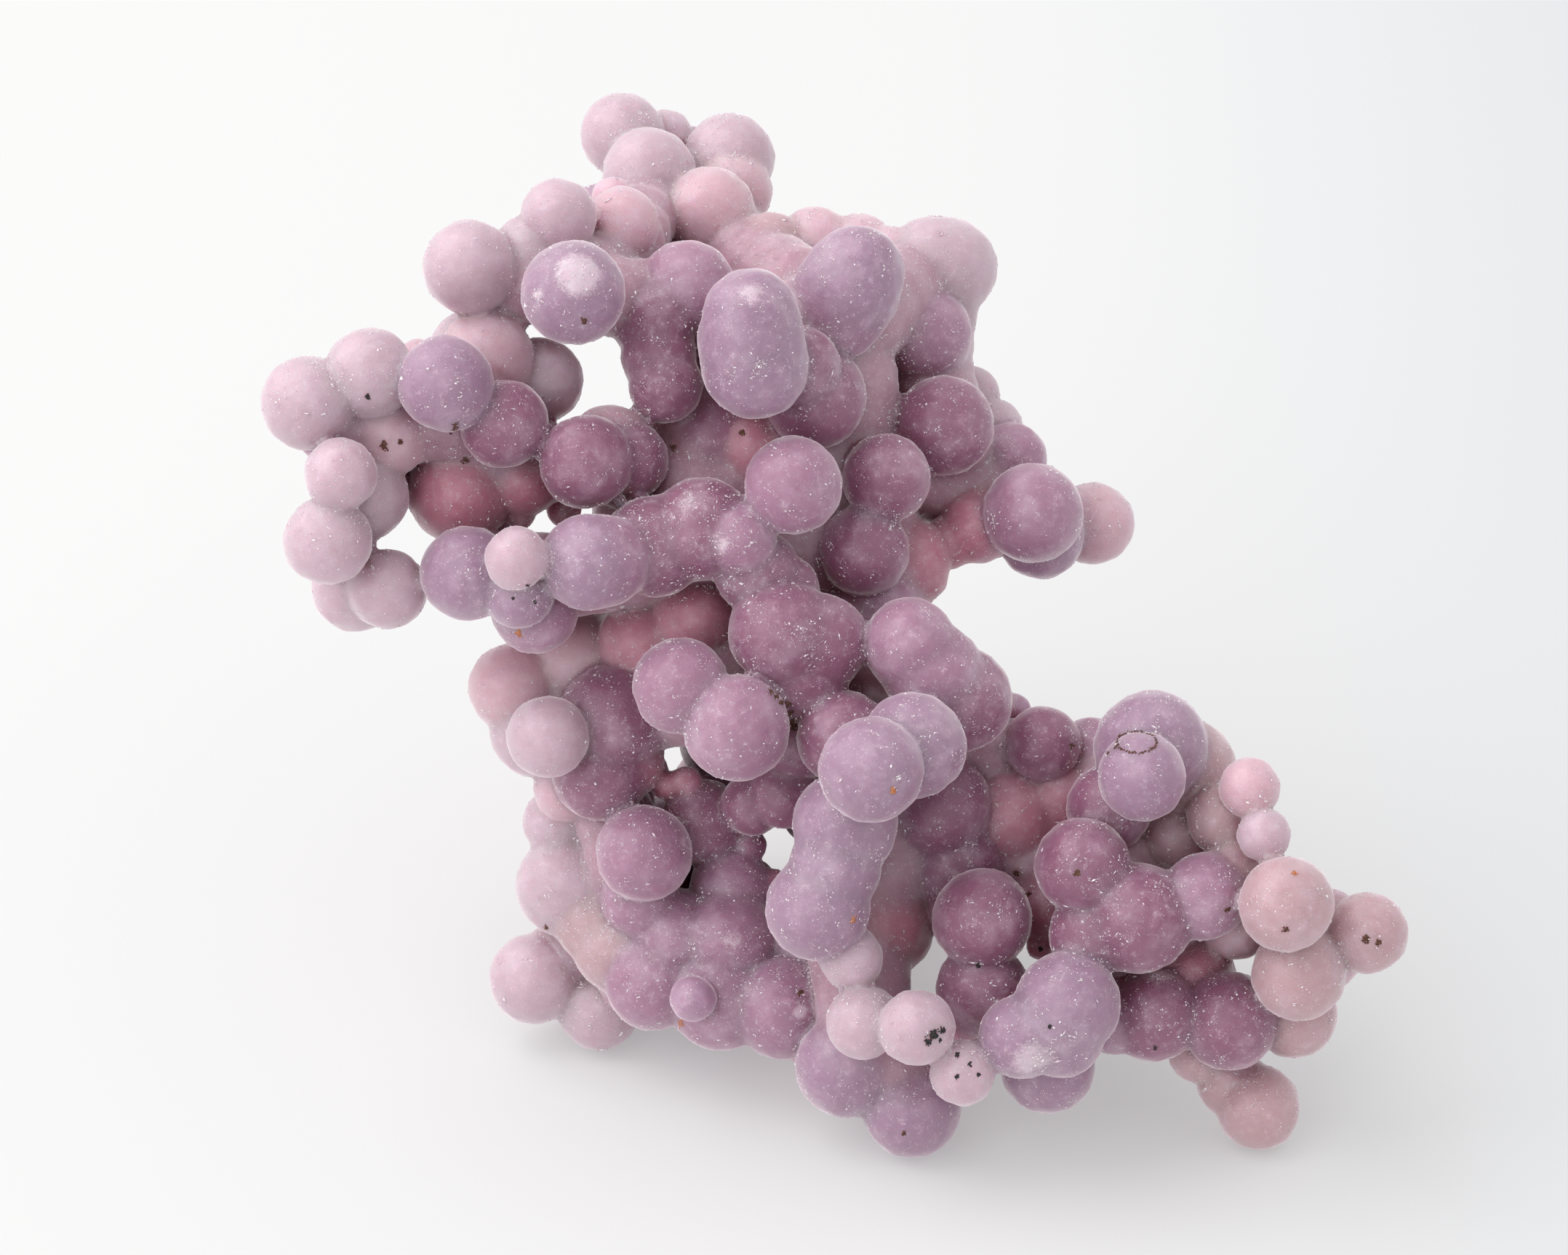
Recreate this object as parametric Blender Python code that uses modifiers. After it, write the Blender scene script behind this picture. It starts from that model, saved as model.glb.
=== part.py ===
"""Botryoidal chalcedony: a branching cluster of round berries that grew together as one piece.

The berries of the front are laid out by hand on a sheet that leans back, as a viewer who looks down on
the cluster sees them, each with its distance behind that sheet. Thin cores join them inside, and more
berries grow behind them, out of that viewer's sight. All the balls are fused into one closed solid.
"""

import math
import random
from dataclasses import dataclass

import bmesh
import bpy
import numpy as np
from mathutils import Matrix, Vector

MM = 0.001
NODE = "chalcedony_cluster"

# The sheet leans back from upright by SIGHT_DROP, square to the viewer's line of sight (mm)
SIGHT_DROP = math.radians(30)
SIGHT_DISTANCE = 340.0
SIGHT_HEIGHT = 32.4

# Growth behind the sheet: how far berries reach from a core's surface, and how close they sit (mm)
GROWTH_ROUNDS = 5
GROWTH_TRIES = 26
GROWTH_REACH = 2.6
GROWTH_RADII = (2.1, 2.9)
NEIGHBOUR_SPACING = 0.7
PARENT_SPACING = 0.8
DISC_RINGS = (0.35, 0.7, 1.0)
SEED = 7

# The fused solid (mm)
FUSE_VOXEL = 0.36
CREASE_SMOOTHING = 3
TRIANGLES = 9800

# Each berry: across to the right, up the sheet, radius, and distance behind the sheet (mm)
LEFT_ARM = (
    (-26.2, 44.7, 2.65, 1.0), (-22.8, 46.4, 2.55, 1.0), (-18.6, 45.8, 2.7, -0.5), (-15.4, 43.6, 2.5, 1.5),
    (-13.4, 46.0, 2.4, 7.0), (-16.4, 47.2, 2.7, 5.0), (-17.3, 47.7, 2.2, 7.0), (-24.4, 40.8, 2.05, -1.0),
    (-25.1, 37.2, 2.5, 0.0), (-23.0, 39.6, 2.4, 3.0), (-21.7, 42.9, 2.2, 3.0), (-23.6, 34.5, 2.4, 5.0),
    (-21.8, 34.5, 2.25, 3.0), (-17.8, 39.9, 3.0, 6.0), (-14.3, 40.5, 2.0, 5.5), (-20.1, 46.9, 1.4, 4.0),
)
MIDDLE_ARM = (
    (-17.4, 35.4, 2.65, 1.0), (-14.7, 36.2, 1.8, -2.5), (-14.6, 34.3, 2.0, 0.0), (-13.7, 33.4, 2.45, 2.5),
    (-10.8, 36.0, 2.7, -1.0), (-9.8, 36.1, 2.55, -0.5), (-10.9, 41.5, 2.65, 1.5), (-8.6, 41.6, 2.3, 3.5),
    (-9.6, 42.4, 2.3, 4.0),
)
RIDGE = (
    (-7.1, 36.9, 2.9, 1.5), (-4.5, 37.8, 2.9, 1.0), (-2.4, 37.3, 2.0, -0.3), (-1.5, 35.5, 2.4, 1.5),
    (0.0, 34.5, 2.0, 2.0), (0.5, 40.2, 2.75, -0.5),
)
CROWN = (
    (-1.8, 49.5, 2.7, -1.5), (-1.8, 48.2, 3.0, -1.3), (-1.6, 46.8, 3.0, -1.0), (0.8, 46.8, 2.3, 1.5),
    (1.7, 45.1, 2.9, 3.5), (4.0, 51.9, 2.65, 3.5), (3.5, 50.9, 2.95, 3.7), (2.8, 49.8, 2.8, 4.0),
    (8.3, 52.3, 2.8, 13.0), (9.1, 52.2, 2.7, 13.0), (7.7, 48.5, 2.7, 11.0), (8.8, 43.5, 2.8, 8.0),
    (5.6, 40.6, 2.5, 4.5), (4.4, 36.6, 2.55, 5.0), (6.9, 36.1, 2.3, 9.0), (1.7, 53.5, 2.1, 14.0),
    (4.1, 53.1, 2.1, 14.0), (-0.7, 53.5, 1.8, 13.0), (5.9, 52.8, 1.7, 13.0),
)
RIGHT_SHOULDER = (
    (13.7, 38.7, 2.8, 8.0), (14.1, 37.4, 2.4, 11.0), (17.0, 38.1, 2.3, 14.0), (10.1, 45.1, 1.8, 15.0),
    (11.5, 43.3, 1.7, 14.0), (12.5, 41.7, 2.0, 12.0), (10.7, 38.0, 2.1, 10.0), (9.1, 37.1, 1.5, 10.0),
    (7.4, 35.3, 1.6, 9.0),
)
TOP_ARM = (
    (-8.9, 59.5, 2.35, 19.0), (-6.5, 59.3, 1.6, 21.0), (-3.0, 58.2, 2.55, 19.0), (-2.8, 56.4, 2.2, 17.5),
    (-7.4, 57.3, 2.65, 16.5), (-4.1, 55.3, 2.5, 14.5), (-9.4, 56.0, 1.2, 12.0),
    (-12.4, 55.0, 2.15, 5.0), (-14.1, 53.1, 2.0, 5.5),
    (-8.9, 54.6, 2.1, 8.0), (-17.3, 52.2, 2.65, 4.0), (-11.6, 50.8, 2.9, -1.0), (-5.3, 51.1, 2.65, 5.5),
    (-7.1, 49.3, 2.4, 5.0), (-6.9, 47.3, 2.1, 4.5), (-6.5, 45.7, 2.1, 4.0),
)
LOWER_LEFT = (
    (-14.9, 29.1, 2.5, 8.5), (-13.0, 26.4, 2.3, 3.5), (-13.7, 26.7, 2.55, 8.5), (-9.3, 27.5, 3.1, 6.5),
    (-8.9, 25.1, 2.3, 7.5), (-10.1, 24.5, 2.7, 7.0), (-7.7, 20.0, 2.7, 5.5), (-12.4, 21.7, 2.0, 11.0),
    (-11.9, 18.2, 2.9, 11.0), (-10.3, 16.4, 2.5, 10.5), (-13.7, 13.1, 2.55, 13.0), (-5.0, 12.0, 1.3, 4.5),
    (-7.1, 13.1, 2.9, 9.0), (-3.5, 12.1, 3.0, 8.0), (-0.1, 11.5, 2.9, 7.0), (-3.1, 15.3, 2.8, 8.0),
    (-5.9, 15.5, 2.6, 8.5), (-9.1, 14.9, 2.6, 10.0),
)
MIDDLE = (
    (-5.7, 29.2, 2.7, 0.0), (-2.6, 26.9, 3.0, -1.0), (-0.1, 32.1, 3.0, 0.5), (2.0, 31.6, 2.7, 1.0),
    (0.9, 29.9, 2.8, 1.5), (6.9, 31.5, 2.6, 0.5), (8.2, 29.9, 2.8, 1.0), (9.7, 28.4, 2.95, 2.0),
    (3.3, 26.3, 2.65, 0.5), (7.1, 25.9, 3.0, -2.5), (4.8, 24.6, 2.95, -5.5), (3.35, 21.6, 2.95, -1.0),
    (2.8, 19.2, 2.6, -1.0), (1.85, 17.0, 2.95, -0.8), (3.7, 14.2, 1.8, 0.0), (4.4, 10.7, 2.1, -0.5),
    (7.3, 10.4, 2.15, -2.5), (9.8, 7.9, 1.85, -1.5), (3.5, 8.3, 2.9, 4.0), (4.9, 16.1, 3.0, 6.0),
    (8.5, 22.5, 3.0, 5.0), (12.3, 22.1, 2.8, 7.0), (9.3, 19.5, 2.8, 6.0),
)
LOWER_RIGHT = (
    (15.6, 11.7, 3.0, -1.5), (14.7, 10.5, 2.5, -1.5), (13.0, 9.9, 2.35, -1.5), (14.5, 8.3, 2.65, 3.0),
    (10.9, 16.4, 2.8, 1.5), (10.9, 12.5, 2.65, 2.5), (15.3, 9.8, 2.25, -1.3),
)
RIGHT_ARM = (
    (14.2, 26.0, 2.15, 5.5), (14.9, 27.3, 1.6, 12.0), (16.9, 25.7, 1.8, 7.0), (20.2, 25.8, 3.2, 1.5),
    (22.2, 24.7, 2.7, 3.5), (19.7, 24.2, 2.5, -2.0), (17.9, 22.5, 2.4, 2.0), (16.4, 19.3, 2.7, -0.5),
    (19.5, 16.4, 3.1, -0.5), (16.9, 15.5, 2.4, 0.0), (23.1, 17.6, 2.45, -0.5), (24.9, 18.9, 2.1, 0.8),
    (25.6, 23.6, 1.7, -1.0), (26.4, 21.0, 1.5, -2.0), (24.1, 21.9, 2.0, 1.5), (27.6, 17.2, 2.7, -3.5),
    (32.1, 15.6, 2.3, 0.0), (28.3, 13.4, 2.65, -0.5), (28.0, 11.1, 2.45, 4.0), (24.5, 10.8, 2.75, 2.5),
    (24.9, 16.1, 2.0, 3.0), (22.5, 13.3, 2.4, 4.5), (20.3, 11.1, 2.65, 2.5), (18.1, 10.9, 2.0, 2.5),
    (22.8, 9.0, 1.7, 5.0), (24.5, 7.3, 1.8, 5.5),
)
# Dark berries deep in the gaps between the others
DEEP = (
    (-11.1, 30.7, 3.0, 9.0), (-7.5, 31.5, 2.8, 7.0), (-4.7, 32.9, 2.6, 5.5), (-3.7, 42.5, 2.9, 7.0),
    (-1.5, 42.1, 2.4, 6.0), (-5.5, 41.3, 2.4, 7.0), (2.9, 41.7, 2.4, 8.0), (-4.5, 21.7, 2.4, 9.0),
    (-2.9, 18.1, 2.3, 9.0), (-1.7, 22.7, 1.8, 7.0), (6.9, 18.9, 2.8, 8.0), (14.5, 20.9, 2.5, 8.0),
    (14.5, 17.1, 2.1, 6.0), (21.7, 20.9, 2.6, 5.0), (-12.0, 23.5, 1.8, 9.0), (-7.9, 17.5, 2.2, 8.0),
    (5.1, 33.5, 2.2, 7.0), (11.9, 25.3, 2.0, 8.0), (0.9, 26.5, 2.5, 5.0), (18.3, 19.5, 2.0, 3.5),
    (15.3, 23.1, 2.4, 7.0), (-12.1, 38.9, 1.0, 8.0), (-14.5, 38.6, 0.8, 6.0), (-6.5, 23.7, 0.8, 8.0),
    (14.1, 14.9, 0.8, 6.0), (9.7, 10.2, 0.9, 3.0), (12.7, 27.9, 0.9, 8.0), (0.0, 23.3, 2.0, 6.0),
    (-5.4, 23.9, 0.9, 8.0), (-7.2, 24.6, 0.8, 8.5), (-1.9, 20.4, 0.95, 8.5), (-0.6, 18.3, 0.9, 9.0),
    (6.0, 15.6, 2.2, 6.5),
)
# Berries that stand on the table, whose distance behind the sheet follows from that: across, up, radius
FEET = ((7.0, 6.0, 2.8), (26.1, 6.0, 2.35), (-10.2, 11.4, 2.3))
# Gaps that one sees right through between the berries: across, up, radius
WINDOWS = (
    (-9.9, 47.0, 1.2), (-10.1, 45.4, 1.0), (-10.9, 44.3, 0.6), (-9.0, 44.3, 0.6), (-21.6, 37.4, 0.8),
    (-20.6, 37.8, 0.8), (-20.0, 36.8, 0.7), (-13.4, 38.2, 0.3), (-6.1, 24.9, 0.3), (-0.4, 20.7, 0.5),
    (-0.4, 19.8, 0.4), (8.3, 14.5, 0.5), (7.5, 13.4, 0.3), (13.6, 14.3, 0.2), (25.5, 14.0, 0.35),
)
# Feet at the back, out of sight
BACK_FEET = ((5.0, 18.2, 2.6), (-3.8, 20.0, 2.5))

# The cores inside the arms, as runs of points: across, up, radius, behind
CORES = (
    ((-24.5, 43.5, 1.9, 2.5), (-18.0, 44.0, 2.6, 4.5), (-14.6, 41.5, 2.2, 6.0), (-9.6, 41.4, 2.2, 6.0),
     (-5.0, 40.0, 3.0, 7.0), (1.0, 40.0, 3.6, 8.0)),
    ((-24.2, 37.0, 1.8, 3.0), (-23.4, 40.0, 1.8, 4.0), (-22.0, 43.0, 2.0, 4.0)),
    ((-21.5, 34.6, 1.7, 4.0), (-17.0, 35.4, 2.1, 5.0), (-11.5, 35.4, 2.4, 5.0), (-5.0, 36.5, 2.8, 6.0),
     (2.0, 37.0, 3.4, 8.0)),
    ((-16.5, 51.5, 2.0, 6.0), (-11.5, 51.0, 2.4, 5.0), (-8.6, 53.5, 2.0, 10.0), (-7.0, 56.5, 2.2, 18.0),
     (-4.0, 56.5, 2.2, 19.0), (-3.0, 53.5, 2.2, 15.0), (0.5, 50.5, 3.0, 10.0)),
    ((-11.0, 50.8, 2.2, 4.0), (-6.5, 50.2, 2.4, 7.0), (-6.3, 46.0, 1.9, 6.5), (-4.5, 42.0, 2.8, 8.0)),
    ((-1.5, 48.0, 2.8, 3.0), (3.5, 49.5, 3.2, 8.0), (8.3, 51.5, 2.5, 14.0), (7.8, 46.5, 2.6, 13.0),
     (8.5, 42.5, 3.0, 11.0)),
    ((3.0, 46.0, 3.4, 8.0), (2.5, 41.0, 4.0, 9.0), (4.5, 35.5, 3.8, 10.0), (4.0, 30.5, 3.6, 8.0),
     (6.5, 26.5, 3.4, 7.0), (6.0, 21.0, 3.6, 7.0), (4.0, 16.0, 3.0, 6.0), (4.5, 10.0, 2.6, 4.0),
     (7.0, 7.0, 2.2, 4.2)),
    ((6.0, 42.0, 3.2, 11.0), (10.5, 40.0, 2.4, 12.0), (14.5, 38.3, 2.0, 12.0), (17.0, 38.1, 1.6, 14.0)),
    ((1.0, 31.0, 3.0, 6.0), (-4.0, 28.5, 2.6, 5.0), (-9.0, 28.5, 3.0, 9.0), (-14.0, 28.0, 2.2, 9.5)),
    ((-9.5, 27.0, 2.8, 9.0), (-10.0, 23.5, 2.2, 10.0), (-8.5, 20.0, 2.5, 9.0), (-10.0, 16.5, 2.4, 12.0),
     (-8.0, 13.5, 2.4, 11.5), (-2.5, 12.8, 2.6, 10.5), (2.0, 15.5, 2.2, 8.5)),
    ((-10.0, 16.0, 2.2, 12.5), (-13.2, 13.6, 2.0, 14.0)),
    ((5.0, 28.5, 3.0, 6.0), (9.5, 28.0, 2.4, 5.0), (11.5, 24.5, 2.0, 8.0), (15.0, 23.5, 2.2, 8.0),
     (20.5, 24.0, 2.6, 5.5), (24.0, 22.0, 1.8, 4.5), (25.5, 18.0, 2.0, 2.5), (31.5, 15.8, 1.6, 1.5)),
    ((9.0, 21.5, 3.0, 8.5), (14.0, 19.0, 2.4, 7.5), (19.0, 17.5, 2.6, 4.0), (21.0, 13.0, 2.2, 5.0),
     (26.5, 12.5, 2.2, 3.5)),
    ((9.0, 20.0, 2.8, 8.0), (10.9, 15.0, 2.2, 5.0), (13.5, 11.0, 2.2, 3.0), (18.0, 11.8, 1.8, 3.5),
     (21.0, 12.5, 2.2, 5.0), (23.8, 9.0, 1.6, 5.5), (25.8, 6.6, 1.6, 5.2)),
    ((4.5, 29.0, 3.4, 12.0), (4.8, 24.5, 3.2, 18.0), (5.0, 19.5, 2.4, 24.0)),
    ((-3.0, 28.0, 2.6, 11.0), (-3.5, 23.5, 2.6, 18.0), (-3.8, 20.5, 2.2, 24.0)),
    ((4.5, 33.0, 3.4, 13.0), (5.0, 39.0, 3.4, 15.0), (4.0, 45.5, 3.0, 15.0), (0.5, 50.5, 2.6, 14.0)),
)
CORE_STEP = 1.6


@dataclass(frozen=True)
class Ball:
    """A ball laid out on the leaning sheet, in millimetres."""

    across: float
    up: float
    radius: float
    behind: float

    @property
    def spread(self):
        """How much farther from the viewer than the sheet it is, which widens its true size."""
        return (SIGHT_DISTANCE + self.behind) / SIGHT_DISTANCE

    def blocks(self, window):
        """Whether it reaches into a window, seen from the front."""
        across, up, radius = window
        return math.hypot(self.across - across, self.up - up) < self.radius + radius

    @property
    def size(self):
        return self.radius * self.spread

    @property
    def centre(self):
        """Its place in the room, right, back and up, before the cluster is centred on its origin."""
        up = SIGHT_HEIGHT + (self.up - SIGHT_HEIGHT) * self.spread
        return Vector((
            self.across * self.spread,
            up * math.sin(SIGHT_DROP) + self.behind * math.cos(SIGHT_DROP),
            up * math.cos(SIGHT_DROP) - self.behind * math.sin(SIGHT_DROP),
        ))


def standing(across, up, radius):
    """The ball that looks so from the front and touches the table."""
    rise = (up - SIGHT_HEIGHT) * math.cos(SIGHT_DROP)
    fall = math.sin(SIGHT_DROP) + (radius - rise) / SIGHT_DISTANCE
    return Ball(across, up, radius, (up * math.cos(SIGHT_DROP) - radius) / fall)


def front_balls():
    arms = (LEFT_ARM, MIDDLE_ARM, RIDGE, CROWN, RIGHT_SHOULDER, TOP_ARM, LOWER_LEFT, MIDDLE, LOWER_RIGHT,
            RIGHT_ARM, DEEP)
    return [Ball(*row) for arm in arms for row in arm] + [standing(*row) for row in FEET]


def core_balls():
    """Balls a short step apart along every core."""
    balls = []
    for core in CORES:
        for start, end in zip(core, core[1:]):
            start, end = Vector(start), Vector(end)
            steps = max(1, round((end - start).length / CORE_STEP))
            balls += [Ball(*start.lerp(end, step / steps)) for step in range(steps + 1)]
    return [ball for ball in balls if not any(ball.blocks(window) for window in WINDOWS)]


class Growth:
    """Berries that bud from others, away from the viewer and out of sight behind the front ones."""

    def __init__(self, front, cores):
        self.balls = list(front)
        self.parents = self.balls + cores
        self.places = np.array([ball.centre for ball in front])
        self.sizes = np.array([ball.size for ball in front])
        self.core_places = np.array([ball.centre for ball in cores])
        self.core_sizes = np.array([ball.size for ball in cores])
        self.shields = np.array([(ball.across, ball.up, ball.radius, ball.behind) for ball in front])
        self.random = random.Random(SEED)

    def is_hidden(self, ball):
        """Whether it fills no window, and front berries that stand before it cover its disc."""
        if any(ball.blocks(window) for window in WINDOWS):
            return False
        turns, shares = np.meshgrid(np.linspace(0, 2 * math.pi, 12, endpoint=False), DISC_RINGS)
        across = ball.across + ball.radius * (shares * np.cos(turns)).reshape(-1, 1)
        up = ball.up + ball.radius * (shares * np.sin(turns)).reshape(-1, 1)
        bulge = self.shields[:, 2] ** 2 - (across - self.shields[:, 0]) ** 2 - (up - self.shields[:, 1]) ** 2
        shield_face = self.shields[:, 3] - np.sqrt(np.maximum(bulge, 0))
        face = ball.behind - ball.radius * np.sqrt(1 - shares ** 2).reshape(-1, 1)
        return bool(((bulge > 0) & (shield_face < face)).any(axis=1).all())

    def has_room(self, ball, centre):
        """Whether it stands clear of the table, near a core and not inside another berry."""
        if centre[2] < ball.size:
            return False
        away = np.linalg.norm(self.places - centre, axis=1)
        if (away < NEIGHBOUR_SPACING * (self.sizes + ball.size)).any():
            return False
        to_core = np.linalg.norm(self.core_places - centre, axis=1) - self.core_sizes
        return bool(to_core.min() < GROWTH_REACH)

    def bud(self, parent):
        """A berry half sunk in its parent, in a direction that is chance but for leading backwards."""
        radius = self.random.uniform(*GROWTH_RADII)
        turn = self.random.uniform(0, 2 * math.pi)
        back = self.random.uniform(-0.15, 1)
        aside = math.sqrt(1 - back * back)
        reach = (parent.radius + radius) * PARENT_SPACING
        return Ball(parent.across + reach * aside * math.cos(turn), parent.up + reach * aside * math.sin(turn),
                    radius, parent.behind + reach * back)

    def keep(self, ball, centre):
        self.balls.append(ball)
        self.places = np.vstack([self.places, centre])
        self.sizes = np.append(self.sizes, ball.size)

    def run(self):
        """All the berries, front ones first."""
        for _ in range(GROWTH_ROUNDS):
            first_new = len(self.balls)
            for parent in self.parents:
                for _ in range(GROWTH_TRIES):
                    ball = self.bud(parent)
                    centre = np.array(ball.centre)
                    if self.has_room(ball, centre) and self.is_hidden(ball):
                        self.keep(ball, centre)
            self.parents = self.balls[first_new:]
        return self.balls


def all_balls():
    cores = core_balls()
    front = front_balls() + [standing(*row) for row in BACK_FEET]
    return Growth(front, cores).run() + cores


def origin_of(balls):
    """The middle of the bottom of the box around the balls."""
    low = [min(ball.centre[i] - ball.size for ball in balls) for i in range(3)]
    high = [max(ball.centre[i] + ball.size for ball in balls) for i in range(3)]
    return Vector(((low[0] + high[0]) / 2, (low[1] + high[1]) / 2, low[2]))


def ball_mesh(balls, origin):
    """One mesh that holds every ball."""
    sphere = bmesh.new()
    bmesh.ops.create_icosphere(sphere, subdivisions=3, radius=MM)
    mesh = bpy.data.meshes.new(NODE)
    sphere.to_mesh(mesh)
    sphere.free()
    shape = bmesh.new()
    for ball in balls:
        copy = mesh.copy()
        copy.transform(Matrix.Translation((ball.centre - origin) * MM) @ Matrix.Scale(ball.size, 4))
        shape.from_mesh(copy)
        bpy.data.meshes.remove(copy)
    shape.to_mesh(mesh)
    shape.free()
    return mesh


def fused(mesh):
    """The balls as one closed surface, with the pockets left shut between them filled."""
    guide = bpy.data.objects.new(mesh.name, mesh)
    bpy.context.scene.collection.objects.link(guide)
    remesh = guide.modifiers.new("fuse", "REMESH")
    remesh.mode = "VOXEL"
    remesh.voxel_size = FUSE_VOXEL * MM
    remesh.adaptivity = 0
    graph = bpy.context.evaluated_depsgraph_get()
    joined = bpy.data.meshes.new_from_object(guide.evaluated_get(graph))
    bpy.data.objects.remove(guide)
    bpy.data.meshes.remove(mesh)
    drop_pockets(joined)
    return joined


def drop_pockets(mesh):
    """Keep the outer skin, the piece of surface with the most faces."""
    shape = bmesh.new()
    shape.from_mesh(mesh)
    shape.verts.ensure_lookup_table()
    unseen = set(shape.verts)
    skins = []
    while unseen:
        skin = [unseen.pop()]
        for vert in skin:
            near = [edge.other_vert(vert) for edge in vert.link_edges]
            fresh = [other for other in near if other in unseen]
            unseen.difference_update(fresh)
            skin.extend(fresh)
        skins.append(skin)
    skins.sort(key=len)
    for skin in skins[:-1]:
        bmesh.ops.delete(shape, geom=skin, context="VERTS")
    shape.to_mesh(mesh)
    shape.free()


def stone_material():
    stone = bpy.data.materials.new("lilac chalcedony")
    stone.use_nodes = True
    shader = stone.node_tree.nodes["Principled BSDF"]
    shader.inputs["Base Color"].default_value = (0.46, 0.30, 0.42, 1)
    shader.inputs["Roughness"].default_value = 0.45
    shader.inputs["Metallic"].default_value = 0.0
    return stone


def triangle_count(mesh):
    return sum(len(face.vertices) - 2 for face in mesh.polygons)


def build_cluster():
    """The cluster, standing on its lowest berries."""
    collection = bpy.data.collections.new("botryoidal chalcedony")
    bpy.context.scene.collection.children.link(collection)
    balls = all_balls()
    mesh = fused(ball_mesh(balls, origin_of(balls)))
    mesh.name = NODE
    mesh.materials.append(stone_material())
    cluster = bpy.data.objects.new(NODE, mesh)
    collection.objects.link(cluster)

    soften = cluster.modifiers.new("soften creases", "SMOOTH")
    soften.factor = 0.5
    soften.iterations = CREASE_SMOOTHING
    thin = cluster.modifiers.new("thin out", "DECIMATE")
    thin.ratio = TRIANGLES / triangle_count(mesh)
    mesh.shade_smooth()
    print(f"{len(balls)} balls, {triangle_count(mesh)} triangles before thinning")


for old in list(bpy.data.objects):
    bpy.data.objects.remove(old, do_unlink=True)
build_cluster()
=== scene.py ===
"""Looks of a cluster of botryoidal chalcedony: frosted lilac berries that grew together as one stone.

The berries are laid out on a sheet that leans back, square to the viewer's line of sight, as in the model
of the part. A smooth skin is drawn over them, tinted berry by berry, and strewn with a sugar of quartz
grains and specks of iron and manganese ore.
"""

from __future__ import annotations

import logging
import math
import random
from collections.abc import Iterable, Sequence
from dataclasses import dataclass, field
from enum import Enum
from typing import Any

import bmesh
import bpy
import numpy as np
from mathutils import Matrix, Vector, noise
from mathutils.bvhtree import BVHTree

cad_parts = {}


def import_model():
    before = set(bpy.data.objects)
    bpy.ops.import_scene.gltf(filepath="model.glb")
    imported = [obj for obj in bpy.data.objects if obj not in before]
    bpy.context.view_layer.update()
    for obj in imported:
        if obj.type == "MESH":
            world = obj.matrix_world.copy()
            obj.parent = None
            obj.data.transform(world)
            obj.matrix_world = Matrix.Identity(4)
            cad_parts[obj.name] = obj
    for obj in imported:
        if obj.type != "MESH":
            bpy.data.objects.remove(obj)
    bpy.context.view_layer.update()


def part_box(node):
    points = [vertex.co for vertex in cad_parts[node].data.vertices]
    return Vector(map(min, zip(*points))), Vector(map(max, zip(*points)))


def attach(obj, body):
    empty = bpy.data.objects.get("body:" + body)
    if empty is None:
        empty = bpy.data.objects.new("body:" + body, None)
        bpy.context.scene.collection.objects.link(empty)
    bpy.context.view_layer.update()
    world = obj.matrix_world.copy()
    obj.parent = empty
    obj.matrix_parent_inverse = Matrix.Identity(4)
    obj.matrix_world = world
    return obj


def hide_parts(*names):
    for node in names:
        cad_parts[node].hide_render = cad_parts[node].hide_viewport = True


log = logging.getLogger("chalcedony")

MM = 0.001
NODE = "chalcedony_cluster"
BODY = "root"

# The sheet leans back from upright by SIGHT_DROP, square to the viewer's line of sight (mm)
SIGHT_DROP = math.radians(30)
SIGHT_DISTANCE = 340.0
SIGHT_HEIGHT = 32.4
PHOTO_WIDTH = 86.24


class Tint(Enum):
    """The stone's colours, as linear red, green and blue: partly its own tone and partly painted light, the
    pale ones standing in for light glowing through thin berries and some darker ones for shade.
    """

    PALE = (0.54, 0.40, 0.46)
    ROSE = (0.62, 0.41, 0.47)
    LILAC = (0.335, 0.20, 0.30)
    MAUVE = (0.355, 0.178, 0.278)
    PLUM = (0.256, 0.088, 0.166)
    WINE = (0.52, 0.205, 0.28)
    BLUSH = (0.45, 0.25, 0.32)
    TAN = (0.50, 0.325, 0.35)


TINT_LETTERS = {"P": Tint.PALE, "R": Tint.ROSE, "L": Tint.LILAC, "M": Tint.MAUVE, "U": Tint.PLUM,
                "D": Tint.WINE, "T": Tint.TAN}
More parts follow.
